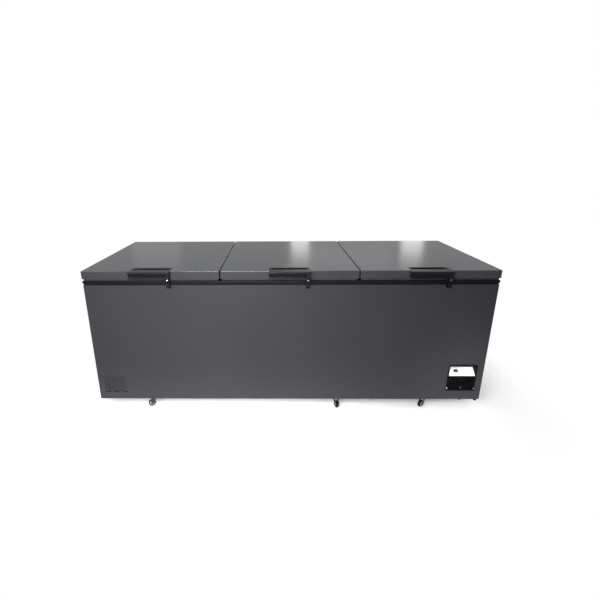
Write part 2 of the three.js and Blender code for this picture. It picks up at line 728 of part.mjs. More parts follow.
mouths().forEach(([left, right], i) => {
  const middle = (i - 1) * lidPitch;
  const number = i + 1;
  const lid = new THREE.Group();
  lid.position.x = middle;
  lid.add(
    piece(`lid_skin_${number}`, lidSkin(), LID_PAINT),
    piece(`lid_tray_${number}`, lidTray([left - middle, right - middle]), WHITE_PLASTIC),
    piece(`lid_gasket_${number}`, lidGasket(), RUBBER),
    piece(`lid_handle_${number}`, lidHandle(), BLACK_PLASTIC),
    piece(`lock_barrel_${number}`, lockBarrel(), CHROME),
  );
  const keeper = piece(`lock_catch_${number}`, lockCatch(), BLACK_PLASTIC);
  keeper.position.x = LOCK.offset;
  lid.add(keeper);
  [-1, 1].forEach((side) => {
    const letter = side < 0 ? "left" : "right";
    const leaf = piece(`hinge_leaf_${number}_${letter}`, hingeLeaf(), ZINC);
    const base = piece(`hinge_base_${number}_${letter}`, hingeBase(), ZINC);
    leaf.position.x = side * HINGE.offset;
    base.position.x = side * HINGE.offset;
    lid.add(leaf, base);
  });
  freezer.add(lid);
});

casterPlaces().forEach(([x, y], i) => {
  const caster = new THREE.Group();
  caster.position.set(x, y, 0);
  caster.rotation.z = THREE.MathUtils.degToRad(SWIVEL[i]);
  caster.add(
    piece(`caster_fork_${i + 1}`, casterFork(), RUBBER),
    piece(`caster_wheel_${i + 1}`, casterWheel(), RUBBER),
  );
  freezer.add(caster);
});

export default freezer;
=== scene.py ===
import json
import math

import bmesh
import bpy
from mathutils import Matrix, Vector


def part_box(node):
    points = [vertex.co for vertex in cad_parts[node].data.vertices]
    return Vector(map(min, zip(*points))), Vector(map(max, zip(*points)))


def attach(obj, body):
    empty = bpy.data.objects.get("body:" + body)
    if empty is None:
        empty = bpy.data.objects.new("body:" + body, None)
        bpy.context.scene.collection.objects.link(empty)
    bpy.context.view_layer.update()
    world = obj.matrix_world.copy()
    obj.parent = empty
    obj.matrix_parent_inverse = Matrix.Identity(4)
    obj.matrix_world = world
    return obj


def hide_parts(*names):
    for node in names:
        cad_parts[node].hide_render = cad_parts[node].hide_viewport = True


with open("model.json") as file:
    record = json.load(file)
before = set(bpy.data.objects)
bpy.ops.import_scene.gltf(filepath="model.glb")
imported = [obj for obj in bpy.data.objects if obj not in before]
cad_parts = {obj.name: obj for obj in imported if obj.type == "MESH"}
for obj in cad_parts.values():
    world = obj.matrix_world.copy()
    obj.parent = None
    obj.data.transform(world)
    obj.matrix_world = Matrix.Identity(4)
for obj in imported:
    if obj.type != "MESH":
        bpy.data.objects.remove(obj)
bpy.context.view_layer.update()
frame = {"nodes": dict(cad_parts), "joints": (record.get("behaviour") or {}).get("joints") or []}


# ---------------------------------------------------------------- the view
# The camera stands left of the middle and above the lids and looks a little down. Its lens
# is short, because the freezer is 2.4 m long, and its axis is shifted so that all of it shows.
EYE = Vector((-0.0792, -2.6861, 1.4799))
PITCH, YAW, ROLL = 18.46, 0.913, -0.391  # degrees: down, to the left, clockwise if negative
FILM, FOCAL, SHIFT = 36, 24.04, 0.0502

lens = bpy.data.cameras.new("view")
lens.sensor_width, lens.lens, lens.shift_x = FILM, FOCAL, SHIFT
camera = bpy.data.objects.new("view", lens)
bpy.context.scene.collection.objects.link(camera)
camera.matrix_world = (
    Matrix.Translation(EYE)
    @ Matrix.Rotation(math.radians(YAW), 4, "Z")
    @ Matrix.Rotation(math.radians(90 - PITCH), 4, "X")
    @ Matrix.Rotation(math.radians(ROLL), 4, "Z")
)
bpy.context.scene.camera = camera


# ---------------------------------------------------------------- base tray and its bolts
# A shallow tray of galvanised sheet closes the cabinet underneath. Six caster pads are
# welded to it, each held by four bolts, and pressed ribs stiffen it between them.
class Value:
    """A node socket. Sums on it add Math nodes; node() adds a node of any other type."""

    def __init__(self, tree, socket=None):
        self.tree, self.socket = tree, socket

    def node(self, kind, settings=(), sockets=(), out=0):
        made = self.tree.nodes.new(kind)
        for name, value in dict(settings).items():
            if name == "stops":
                for i, (place, colour) in enumerate(value):
                    stop = made.color_ramp.elements[i] if i < 2 else made.color_ramp.elements.new(place)
                    stop.position, stop.color = place, (*colour, 1)
            else:
                setattr(made, name, value)
        for key, value in dict(sockets).items():
            if isinstance(value, Value):
                self.tree.links.new(value.socket, made.inputs[key])
            else:
                made.inputs[key].default_value = value
        return Value(self.tree, made.outputs[out])

    def math(self, operation, first, second=0.0):
        return self.node("ShaderNodeMath", {"operation": operation}, {0: first, 1: second})

    def __add__(self, other):
        return self.math("ADD", self, other)

    def __sub__(self, other):
        return self.math("SUBTRACT", self, other)

    def __rsub__(self, other):
        return self.math("SUBTRACT", other, self)

    def __mul__(self, other):
        return self.math("MULTIPLY", self, other)

    __radd__ = __add__
    __rmul__ = __mul__


class Finish(Value):
    """A Principled material. Constants go on its shader; what varies is fed in from Object coordinates."""

    def __init__(self, name, **constants):
        self.material = bpy.data.materials.new(name)
        self.material.use_nodes = True
        super().__init__(self.material.node_tree)
        self.shader = next(n for n in self.tree.nodes if n.type == "BSDF_PRINCIPLED")
        for key, value in constants.items():
            self.shader.inputs[key.replace("_", " ").title().replace("Ior", "IOR")].default_value = value
        self.place = self.node("ShaderNodeTexCoord", out="Object")

    def noise(self, scale, detail=2.0, stretch=(1, 1, 1)):
        spot = self.node("ShaderNodeMapping", (), {"Vector": self.place, "Scale": stretch})
        return self.node("ShaderNodeTexNoise", (), {"Vector": spot, "Scale": scale, "Detail": detail})

    def cells(self, scale):
        return self.node("ShaderNodeTexVoronoi", (), {"Vector": self.place, "Scale": scale}, "Distance")

    def colour(self, dark, light, mask):
        return self.node("ShaderNodeMix", {"data_type": "RGBA"}, {0: mask, 6: (*dark, 1), 7: (*light, 1)}, 2)

    def bump(self, height, strength, depth):
        return self.node("ShaderNodeBump", (), {"Height": height, "Strength": strength, "Distance": depth})

    def feed(self, **links):
        for key, value in links.items():
            self.tree.links.new(value.socket, self.shader.inputs[key.replace("_", " ").title()])
        return self.material


def galvanised(name, light):
    """Zinc on steel: large faint crystals, with fine rolling lines along the sheet."""
    zinc = Finish(name, metallic=0.9)
    grain = zinc.noise(240, 3, (0.05, 1, 1))
    mask = zinc.cells(70) * 0.9 + grain * 0.3
    dark = tuple(0.72 * c for c in light)
    return zinc.feed(
        base_color=zinc.colour(dark, light, mask),
        roughness=0.3 + mask * 0.22,
        normal=zinc.bump(grain, 0.15, 0.0003),
    )


def mesh_from(bm, name="blank"):
    mesh = bpy.data.meshes.new(name)
    bm.to_mesh(mesh)
    bm.free()
    return mesh


def blank_of(mesh):
    bm = bmesh.new()
    bm.from_mesh(mesh)
    return bm


def together(*blanks):
    """Several bmeshes as one."""
    whole = bmesh.new()
    for blank in blanks:
        mesh = mesh_from(blank)
        whole.from_mesh(mesh)
        bpy.data.meshes.remove(mesh)
    return whole


def block(low, high, radius=0.0, steps=2, turn=None):
    """A box between two corners with rounded edges, as a bmesh; turn is a matrix about its middle."""
    low, high = Vector(low), Vector(high)
    bm = bmesh.new()
    bmesh.ops.create_cube(bm, size=1)
    bm.transform(Matrix.Diagonal((*(high - low), 1)))
    if radius:
        bmesh.ops.bevel(bm, geom=bm.edges[:], offset=radius, segments=steps, profile=0.5, affect="EDGES")
    bm.transform(Matrix.Translation((low + high) / 2) @ (turn or Matrix.Identity(4)))
    return bm


def turned(profile, axis=(0, 0, 1), centre=(0, 0, 0), sides=48):
    """(radius, height) points turned round an axis; the profile closes on the axis or on itself."""
    bm = bmesh.new()
    verts = [bm.verts.new((r, 0, h)) for r, h in profile]
    edges = [bm.edges.new(pair) for pair in zip(verts, verts[1:])]
    bmesh.ops.spin(bm, geom=verts + edges, cent=(0, 0, 0), axis=(0, 0, 1), angle=math.tau, steps=sides)
    bmesh.ops.remove_doubles(bm, verts=bm.verts[:], dist=1e-6)
    bmesh.ops.recalc_face_normals(bm, faces=bm.faces[:])
    tilt = Vector((0, 0, 1)).rotation_difference(Vector(axis)).to_matrix().to_4x4()
    bm.transform(Matrix.Translation(centre) @ tilt)
    return bm


def add_piece(name, blank, finish, body="root", nodes=(), sharp=35):
    """A finished mesh as a piece of the object: in place, smooth but for its corners, riding on its body."""
    mesh = mesh_from(blank, name) if isinstance(blank, bmesh.types.BMesh) else blank
    mesh.name = name
    mesh.materials.clear()
    mesh.materials.append(finish)
    mesh.shade_smooth()
    mesh.set_sharp_from_angle(angle=math.radians(sharp))
    piece = bpy.data.objects.new(name, mesh)
    bpy.context.scene.collection.objects.link(piece)
    weights = piece.modifiers.new("even shading", "WEIGHTED_NORMAL")
    weights.keep_sharp = True
    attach(piece, body)
    if nodes:
        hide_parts(*nodes)
    return piece


def paint_node(node, finish):
    """A CAD node that stays as it is and gets its finish."""
    slots = frame["nodes"][node].data.materials
    slots.clear()
    slots.append(finish)


def spread_tree():
    """Geometry Nodes: one copy of a part on each point of the mesh, turned at random about its own axis."""
    tree = bpy.data.node_groups.new("spread", "GeometryNodeTree")
    face = tree.interface
    face.new_socket("Geometry", in_out="OUTPUT", socket_type="NodeSocketGeometry")
    face.new_socket("Geometry", in_out="INPUT", socket_type="NodeSocketGeometry")
    face.new_socket("Part", in_out="INPUT", socket_type="NodeSocketObject")
    face.new_socket("Finish", in_out="INPUT", socket_type="NodeSocketMaterial")
    face.new_socket("Most turn", in_out="INPUT", socket_type="NodeSocketFloat")
    face.new_socket("Facing", in_out="INPUT", socket_type="NodeSocketVector")
    face.new_socket("Seed", in_out="INPUT", socket_type="NodeSocketInt")
    start = tree.nodes.new("NodeGroupInput")
    given = {s.name: Value(tree, s) for s in start.outputs if s.name}
    maker = Value(tree)
    part = maker.node("GeometryNodeObjectInfo", (), {"Object": given["Part"]}, "Geometry")
    spin = maker.node(
        "FunctionNodeRandomValue", {"data_type": "FLOAT"}, {3: given["Most turn"], "Seed": given["Seed"]}, 1
    )
    turn = maker.node("ShaderNodeCombineXYZ", (), {"Z": spin})
    set_on = maker.node(
        "GeometryNodeInstanceOnPoints",
        (),
        {"Points": given["Geometry"], "Instance": part, "Rotation": given["Facing"]},
    )
    spun = maker.node("GeometryNodeRotateInstances", (), {"Instances": set_on, "Rotation": turn})
    real = maker.node("GeometryNodeRealizeInstances", (), {"Geometry": spun})
    dressed = maker.node("GeometryNodeSetMaterial", (), {"Geometry": real, "Material": given["Finish"]})
    end = tree.nodes.new("NodeGroupOutput")
    tree.links.new(dressed.socket, end.inputs[0])
    return tree


def on_bench(data):
    """A passing object that holds a mesh or a tube while it is worked on."""
    work = bpy.data.objects.new("work", data)
    bpy.context.scene.collection.objects.link(work)
    return work


def off_bench(work, *tools):
    """The mesh that the work's modifiers leave; the work and its tools go."""
    bpy.context.view_layer.update()
    seen = work.evaluated_get(bpy.context.evaluated_depsgraph_get())
    made = bpy.data.meshes.new_from_object(seen)
    work.modifiers.clear()
    for spent in (work, *tools):
        bpy.data.objects.remove(spent)
    return made


def run_tree(tree, mesh, **inputs):
    """The mesh that a Geometry Nodes tree makes from a mesh, with its named inputs set by identifier."""
    work = on_bench(mesh)
    nodes = work.modifiers.new("nodes", "NODES")
    nodes.node_group = tree
    sockets = [s for s in tree.interface.items_tree if s.in_out == "INPUT"]
    names = {s.name.lower().replace(" ", "_"): s.identifier for s in sockets}
    for key, value in inputs.items():
        nodes[names[key]] = value
    return off_bench(work)


SPREAD = spread_tree()


def fasten(
    name, part, places, finish, body="root", facing=(0, 0, 0), turn=math.tau, seed=1
):
    """One piece made of a part repeated at the given places, its own +Z turned by facing."""
    points = bpy.data.meshes.new("places")
    points.from_pydata([tuple(p) for p in places], [], [])
    template = on_bench(mesh_from(part))
    made = run_tree(SPREAD, points, part=template, finish=finish, most_turn=turn, facing=facing, seed=seed)
    bpy.data.objects.remove(template)
    return add_piece(name, made, finish, body)


def hex_bolt(across, tall):
    """Hexagon head with a flange, its seat at the origin."""
    corner = across / math.sqrt(3)
    flare, root = corner * 1.25, tall * 0.25
    flange = [(0, 0), (flare, 0), (flare, tall * 0.2), (corner, tall * 0.3), (0, tall * 0.3)]
    head = [(0, root), (corner, root), (corner, tall * 0.85), (corner * 0.86, tall), (0, tall)]
    return together(turned(flange, sides=24), turned(head, sides=6))


def square_of(x, y, z, reach):
    """Four places in a square about a point."""
    return [(x + sx * reach, y + sy * reach, z) for sx in (-1, 1) for sy in (-1, 1)]


ZINC = galvanised("galvanised_sheet", (0.56, 0.57, 0.58))
PLATED = galvanised("plated_fastener", (0.66, 0.66, 0.65))
paint_node("base_pan", ZINC)

PAD_HALF = 0.032
PAD_BOTTOM = 0.076
BOLT_INSET = 0.007
casters = [j for j in frame["joints"] if j["name"].endswith("_swivel")]
pad_bolts = []
for swivel in casters:
    pad_bolts += square_of(*swivel["pos_m"][:2], PAD_BOTTOM, PAD_HALF - BOLT_INSET)
fasten("pad_bolts", hex_bolt(0.008, 0.004), pad_bolts, PLATED, facing=(math.pi, 0, 0))

RIB = Vector((0.015, 0.35, 0.0022))  # half its width, half its length, and its depth
RIBS = {"first": 0.16, "pitch": 0.104, "count": 21, "clear": 0.06}
TRAY_UNDER = 0.080
base_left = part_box("base_pan")[0].x
rib_row = [base_left + RIBS["first"] + RIBS["pitch"] * i for i in range(RIBS["count"])]
rib_places = [
    (x, 0, TRAY_UNDER) for x in rib_row if all(abs(x - j["pos_m"][0]) > RIBS["clear"] for j in casters)
]
rib = block(-RIB, RIB, RIB.z * 0.9, 3)
fasten("base_ribs", rib, rib_places, ZINC, turn=0)


# ---------------------------------------------------------------- casters
# Each caster is a pressed black yoke that turns on its pad and a 44 mm wheel on a riveted
# axle: a dark tread moulded round a pale grey nylon hub. They are bolted on one by one.
def coated(name, colour, roughness, orange_peel=0.2):
    """Enamel or powder coat: even colour with a faint mottle and a fine orange peel."""
    coat = Finish(name, coat_weight=0.15, coat_roughness=0.2)
    mottle = coat.noise(9, 3)
    peel = coat.noise(1400, 1)
    dark = tuple(0.86 * c for c in colour)
    return coat.feed(
        base_color=coat.colour(dark, colour, mottle),
        roughness=roughness - 0.06 + mottle * 0.12,
        normal=coat.bump(peel, orange_peel, 0.0001),
    )


def moulded(name, colour, roughness, grain=0.35, shine=0.35):
    """Moulded plastic or rubber: spark-eroded grain, with a painted highlight making it a little lighter
    where the grain stands up.
    """
    resin = Finish(name, specular_ior_level=shine)
    pores = resin.cells(900)
    cloud = resin.noise(26, 3)
    # The lighter tone goes where the pores stand up, a painted highlight on the grain, mixed with a random
    # cloud of tone.
    light = tuple(min(1, 1.3 * c + 0.0015) for c in colour)
    return resin.feed(
        base_color=resin.colour(colour, light, cloud * 0.6 + pores * 0.4),
        roughness=roughness - 0.05 + cloud * 0.1,
        normal=resin.bump(pores, grain, 0.00012),
    )


def prism(outline, direction, low, high):
    """A flat outline of pairs given depth along X, Y or Z, from low to high."""
    axes = {"X": (1, 2, 0), "Y": (0, 2, 1), "Z": (0, 1, 2)}[direction]
    bm = bmesh.new()
    rings = []
    for depth in (low, high):
        ring = []
        for a, b in outline:
            spot = [0, 0, 0]
            spot[axes[0]], spot[axes[1]], spot[axes[2]] = a, b, depth
            ring.append(bm.verts.new(spot))
        rings.append(ring)
    bm.faces.new(rings[0])
    bm.faces.new(rings[1])
    count = len(outline)
    for i in range(count):
        j = (i + 1) % count
        bm.faces.new((rings[0][i], rings[0][j], rings[1][j], rings[1][i]))
    bmesh.ops.recalc_face_normals(bm, faces=bm.faces[:])
    return bm


def arc(centre, radius, start, stop, steps=6):
    """Points on an arc, in degrees, ends included."""
    angles = [math.radians(start + (stop - start) * i / steps) for i in range(steps + 1)]
    return [(centre[0] + radius * math.cos(a), centre[1] + radius * math.sin(a)) for a in angles]


def soften(bm, radius, steps=2, angle=30):
    """Rounds the edges of a bmesh that are sharper than the angle."""
    work = on_bench(mesh_from(bm))
    bevel = work.modifiers.new("soften", "BEVEL")
    bevel.width, bevel.segments, bevel.angle_limit = radius, steps, math.radians(angle)
    return blank_of(off_bench(work))


def find_joint(name):
    return next(j for j in frame["joints"] if j["name"] == name)


TREAD = moulded("caster_tread", (0.0030, 0.0030, 0.0034), 0.65, shine=0.06)
HUB = moulded("caster_hub", (0.24, 0.24, 0.25), 0.45, 0.15)
YOKE = coated("yoke_enamel", (0.005, 0.005, 0.006), 0.5)
first_roll = find_joint("caster_1_roll")
WHEEL_RADIUS = first_roll["pos_m"][2]
TRAIL = math.dist(first_roll["pos_m"][:2], casters[0]["pos_m"][:2])
SWIVEL_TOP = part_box("caster_fork_1")[1].z
TREAD_HALF = 0.009
HUB_RADIUS = 0.0155
HUB_SINK = 0.0012
WHEEL_SIDES = 56
YOKE_RADIUS = 0.020
CHEEK_IN = 0.011
CHEEK = 0.0025
AXLE_END = 0.016


def caster_tread():
    """Rounded tread with a shallow groove each side, closed on the hub's seat."""
    shoulder, seat = 0.004, TREAD_HALF - HUB_SINK
    half = arc((WHEEL_RADIUS - shoulder, TREAD_HALF - shoulder), shoulder, 0, 90)
    half += [(HUB_RADIUS + 0.001, TREAD_HALF), (HUB_RADIUS, seat), (HUB_RADIUS - 0.001, seat)]
    return half[::-1] + [(r, -h) for r, h in half] + half[-1:]


def caster_hub():
    """Dished nylon disc with a raised boss."""
    dish, proud = TREAD_HALF - 0.004, TREAD_HALF + 0.001
    half = [(0.0043, proud), (0.0068, proud), (0.0078, dish), (HUB_RADIUS - 0.0035, dish)]
    half += [(HUB_RADIUS - 0.002, TREAD_HALF - 0.0008), (HUB_RADIUS, TREAD_HALF - HUB_SINK)]
    return half + [(r, -h) for r, h in half[::-1]] + half[:1]


def caster_yoke():
    """Head, two cheeks that narrow to the axle, and the axle's rivet heads, about the swivel axis."""
    top, radius, wide = SWIVEL_TOP, YOKE_RADIUS, CHEEK_IN + CHEEK
    head = [(0, top - 0.006), (radius - 0.003, top - 0.006), (radius, top - 0.004), (radius, top - 0.001)]
    head += [(radius - 0.001, top), (0, top)]
    side = [(-0.011, top - 0.001)] + arc((-TRAIL, WHEEL_RADIUS), 0.0078, 165, 330, 10)
    side += [(0.0095, top - 0.012), (0.0115, top - 0.001)]
    cheeks = [soften(prism(side, "Y", low, low + CHEEK), 0.0008) for low in (CHEEK_IN, -wide)]
    bridge = block((-0.011, -wide, top - 0.010), (0.0105, wide, top - 0.003), 0.002)
    rivet = [(0.0036, CHEEK_IN), (0.0048, AXLE_END - 0.0018), (0.0035, AXLE_END), (0, AXLE_END)]
    rivet = [(r, -h) for r, h in rivet[::-1]] + rivet
    pin = turned(rivet, (0, 1, 0), (-TRAIL, 0, WHEEL_RADIUS), 24)
    return together(turned(head), *cheeks, bridge, pin)


for number, swivel in enumerate(casters, 1):
    fork, wheel = f"fork_{number}", f"wheel_{number}"
    roll = find_joint(f"caster_{number}_roll")
    axle, hub_at = Vector(roll["axis"]), roll["pos_m"]
    heading = Matrix.Rotation(math.atan2(-axle.x, axle.y), 4, "Z")
    yoke = caster_yoke()
    yoke.transform(Matrix.Translation((*swivel["pos_m"][:2], 0)) @ heading)
    tread = turned(caster_tread(), axle, hub_at, WHEEL_SIDES)
    hub = turned(caster_hub(), axle, hub_at, WHEEL_SIDES)
    add_piece(f"yoke_{number}", yoke, YOKE, fork, [f"caster_{fork}"])
    add_piece(f"tread_{number}", tread, TREAD, wheel, [f"caster_{wheel}"])
    add_piece(f"hub_{number}", hub, HUB, wheel)


# ---------------------------------------------------------------- cabinet wrap
# One sheet of precoated dark grey steel, 1.2 mm thick, is bent round the four sides. Louvres are
# pressed through its lower left front, and it is holed for the control unit and the machine bay.
def ring_points(low, high, radius, z, steps=6):
    """A rounded rectangle seen from above, anticlockwise, at one height."""
    (x0, y0), (x1, y1) = low, high
    spots = []
    for cx, cy, start in ((x1, y1, 0), (x0, y1, 90), (x0, y0, 180), (x1, y0, 270)):
        bend_x = cx - math.copysign(radius, cx - (x0 + x1) / 2)
        bend_y = cy - math.copysign(radius, cy - (y0 + y1) / 2)
        spots += [(x, y, z) for x, y in arc((bend_x, bend_y), radius, start, start + 90, steps)]
    return spots


def loft(loops, closed=False):
    """Rings of equal length joined one to the next; the ends are capped, or joined if closed."""
    bm = bmesh.new()
    rings = [[bm.verts.new(p) for p in loop] for loop in loops]
    for one, two in zip(rings, rings[1:] + (rings[:1] if closed else [])):
        count = len(one)
        for i in range(count):
            j = (i + 1) % count
            bm.faces.new((one[i], one[j], two[j], two[i]))
    if not closed:
        bm.faces.new(rings[0])
        bm.faces.new(rings[-1])
    bmesh.ops.recalc_face_normals(bm, faces=bm.faces[:])
    return bm


def shrunk(low, high, inset, radius, z, steps=6):
    """The rounded rectangle between two corners, brought in by an inset, with its corners to match."""
    low, high = (low[0] + inset, low[1] + inset), (high[0] - inset, high[1] - inset)
    return ring_points(low, high, max(radius - inset, 0.0004), z, steps)


def stack(low, high, radius, section):
    """The rounded rectangle between two corners at each (inset, height) of a section."""
    return [shrunk(low, high, inset, radius, z) for inset, z in section]


def shell(side, other):
    """Two like grids of points as the two faces of one closed wall."""
    bm = bmesh.new()
    front, back = [[[bm.verts.new(p) for p in line] for line in grid] for grid in (side, other)]
    last, end = len(front) - 1, len(front[0]) - 1
    for i in range(last):
        for j in range(end):
            bm.faces.new((front[i][j], front[i][j + 1], front[i + 1][j + 1], front[i + 1][j]))
            bm.faces.new((back[i][j], back[i + 1][j], back[i + 1][j + 1], back[i][j + 1]))
        for j in (0, end):
            bm.faces.new((front[i][j], front[i + 1][j], back[i + 1][j], back[i][j]))
    for i in (0, last):
        for j in range(end):
            bm.faces.new((front[i][j], front[i][j + 1], back[i][j + 1], back[i][j]))
    bmesh.ops.recalc_face_normals(bm, faces=bm.faces[:])
    return bm


WELD = 4e-6


def carve(bm, cutter, operation="DIFFERENCE"):
    """One bmesh cut by another, or joined to it."""
    work, tool = on_bench(mesh_from(bm)), on_bench(mesh_from(cutter))
    boolean = work.modifiers.new("cut", "BOOLEAN")
    boolean.object, boolean.operation, boolean.solver = tool, operation, "EXACT"
    made = blank_of(off_bench(work, tool))
    bmesh.ops.remove_doubles(made, verts=made.verts[:], dist=WELD)
    bmesh.ops.dissolve_degenerate(made, edges=made.edges[:], dist=WELD)
    return made


def painted(name, dark, light, roughness, **constants):
    """Precoated sheet: a metallic grey film with a faint cloudiness, fine flake and soft waves."""
    film = Finish(name, metallic=0.15, **constants)
    cloud = film.noise(1.7, 3)
    flake = film.noise(2600, 1)
    wave = film.noise(6, 1, (1, 1, 0.4))
    mask = cloud * 0.75 + flake * 0.25
    return film.feed(
        base_color=film.colour(dark, light, mask),
        roughness=roughness - 0.04 + cloud * 0.05 + flake * 0.04,
        normal=film.bump(flake * 0.12 + wave, 0.25, 0.0004),
    )


BODY_PAINT = painted(
    "body_paint", (0.028, 0.0268, 0.031), (0.040, 0.0382, 0.0440), 0.34, specular_ior_level=0.26
)
SHEET = 0.0012
BEND = 0.004
HEM = {"wide": 0.012, "clear": 0.00004, "thick": 0.0002}
wrap_low, wrap_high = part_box("cabinet_shell")
LOUVRE = {
    "wide": 0.033, "tall": 0.0066, "pitch_x": 0.054, "pitch_z": 0.0173,
    "rows": 7, "columns": 3, "margin": 0.014,
}
HOLE_INSET = 0.005
COVER_LAP = 0.008


def louvre_corners():
    """Upper left corner of each slot: full rows with shorter rows between them."""
    low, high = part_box("vent_box")
    for row in range(2 * LOUVRE["rows"] - 1):
        between = row % 2
        for column in range(LOUVRE["columns"] - between):
            x = low.x + LOUVRE["margin"] + (column + between / 2) * LOUVRE["pitch_x"]
            yield x, high.z - LOUVRE["margin"] - row * LOUVRE["pitch_z"] / 2


def cabinet_wrap():
    """The wrap and the thin hem that its top edge folds over the foam, holed for what goes through it."""
    low, high = wrap_low, wrap_high
    under = high.z + HEM["clear"]
    over = under + HEM["thick"]
    section = [(SHEET, low.z), (SHEET, under), (HEM["wide"], under), (HEM["wide"], over)]
    section += [(0, over), (0, low.z)]
    through = 0.006
    cutters = []
    for node, lap, face in (("control_housing", HOLE_INSET, low.y), ("machine_cover", COVER_LAP, high.y)):
        lower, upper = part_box(node)
        corner = (lower.x + lap, face - through, lower.z + lap)
        cutters.append(block(corner, (upper.x - lap, face + through, upper.z - lap)))
    for x, z in louvre_corners():
        corner = (x, low.y - through, z - LOUVRE["tall"])
        cutters.append(block(corner, (x + LOUVRE["wide"], low.y + through, z)))
    return carve(loft(stack(low, high, BEND, section), closed=True), together(*cutters))


add_piece("cabinet_wrap", cabinet_wrap(), BODY_PAINT, nodes=["cabinet_shell"])


def pressed_hood(half, proud, rise, gauge, across=14, square=6):
    """A pressed louvre, its open lower edge proud of the sheet at the origin and its ends rounded down."""
    down = 6
    sides = []
    for sunk in (0, gauge):
        side = []
        for i in range(across + 1):
            u = 2 * i / across - 1
            out = proud * (1 - abs(u) ** square) ** 0.5
            side.append([(u * half, sunk - out * (1 - j / down), rise * j / down) for j in range(down + 1)])
        sides.append(side)
    return shell(*sides)


# Each slot shows dark under the lit crown of its hood.
hood = pressed_hood(LOUVRE["wide"] / 2, 0.0011, 0.0020, 0.0006)
hoods = [(x + LOUVRE["wide"] / 2, wrap_low.y, z) for x, z in louvre_corners()]
fasten("louvre_hoods", hood, hoods, BODY_PAINT, turn=0)


# ---------------------------------------------------------------- foam and the box behind the louvres
# Two-part foam is poured between the wrap and the liner and rises to fill every corner. A shallow
# steel tray keeps it away from the louvres.
def poured(name, dark, light):
    """Rigid foam: closed cells under a thin skin, yellow, with painted shade making it a little darker in the
    hollows.
    """
    foam = Finish(name, subsurface_weight=0.05)
    bubble = foam.cells(420)
    drift = foam.noise(7, 4)
    # Where the cell pattern is low the colour darkens, painted shade in the hollows, mixed with a random
    # drift of tone.
    return foam.feed(
        base_color=foam.colour(dark, light, bubble * 0.5 + drift * 0.5),
        roughness=0.85 + drift * 0.12,
        normal=foam.bump(bubble, 0.6, 0.0008),
    )


paint_node("cabinet_foam", poured("poured_foam", (0.55, 0.41, 0.16), (0.79, 0.66, 0.36)))
# The tray's near-black enamel is painted shade: it keeps the louvre slots dark.
paint_node("vent_box", coated("vent_box_enamel", (0.003, 0.003, 0.003), 0.7))


# ---------------------------------------------------------------- inner liner
# Stucco-embossed white aluminium, folded into one tank whose floor steps up over the machine
# bay. Its edges are bent to 12 mm so that it wipes clean, and its top edge tucks under the rim.
def embossed(name):
    """Painted aluminium rolled with an orange-peel pattern a few millimetres across."""
    leaf = Finish(name, coat_weight=0.2)
    pebble = leaf.node(
        "ShaderNodeTexVoronoi",
        {"feature": "SMOOTH_F1"},
        {"Vector": leaf.place, "Scale": 130, "Smoothness": 0.6},
        "Distance",
    )
    drift = leaf.noise(4, 2)
    return leaf.feed(
        base_color=leaf.colour((0.70, 0.71, 0.72), (0.83, 0.84, 0.84), pebble * 0.6 + drift * 0.4),
        roughness=0.32 + drift * 0.1,
        metallic=0.08 + drift * 0.06,
        normal=leaf.bump(pebble, 0.5, 0.0006),
    )


LINER_SHEET = 0.0015
LINER_BEND = 0.012
STEP = Vector((0.820, 0, 0.395))  # where the floor steps up, on the inside faces


def inner_tank():
    low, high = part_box("inner_liner")
    t = LINER_SHEET
    low, high = low + Vector((t, t, t)), high - Vector((t, t, 0))
    side = [(low.x, high.z), (low.x, low.z), (STEP.x, low.z), (STEP.x, STEP.z)]
    side += [(high.x, STEP.z), (high.x, high.z)]
    tank = prism(side, "Y", low.y, high.y)
    top = [f for f in tank.faces if f.normal.z > 0.9 and f.calc_center_median().z > high.z - 1e-5]
    bmesh.ops.delete(tank, geom=top, context="FACES_ONLY")
    bends = [e for e in tank.edges if not e.is_boundary]
    bmesh.ops.bevel(tank, geom=bends, offset=LINER_BEND, segments=5, profile=0.5, affect="EDGES")
    bmesh.ops.recalc_face_normals(tank, faces=tank.faces[:])
    outward = sum((f.normal.dot(f.calc_center_median() - Vector((0, 0, 0.5))) for f in tank.faces), 0.0)
    if outward < 0:
        bmesh.ops.reverse_faces(tank, faces=tank.faces[:])
    work = on_bench(mesh_from(tank))
    wall = work.modifiers.new("wall", "SOLIDIFY")
    wall.thickness, wall.offset, wall.use_even_offset = LINER_SHEET, 1, True
    return blank_of(off_bench(work))


LINER = embossed("embossed_aluminium")
add_piece("inner_tank", inner_tank(), LINER, nodes=["inner_liner"])


# ---------------------------------------------------------------- rim frame
# Black moulded frame that caps the walls. Its upper band stands 1 mm proud of the wrap and the
# lower one is stepped back. Two beams cross the tank between the lids, which seal on the frame.
def cad_copy(node):
    """A CAD node's mesh, its corners merged and its flat faces whole, as a bmesh to finish."""
    bm = blank_of(frame["nodes"][node].data)
    bmesh.ops.remove_doubles(bm, verts=bm.verts[:], dist=WELD / 2)
    bmesh.ops.dissolve_limit(bm, angle_limit=math.radians(0.5), verts=bm.verts[:], edges=bm.edges[:])
    return bm


def eased_piece(name, node, finish, radius, body="root", steps=2, angle=30):
    """A piece with a CAD node's own shape, its edges rounded."""
    add_piece(name, soften(cad_copy(node), radius, steps, angle), finish, body, [node])


BLACK = moulded("black_plastic", (0.0030, 0.0030, 0.0037), 0.45, shine=0.14)
eased_piece("rim_band", "rim_frame", BLACK, 0.0018, steps=3)


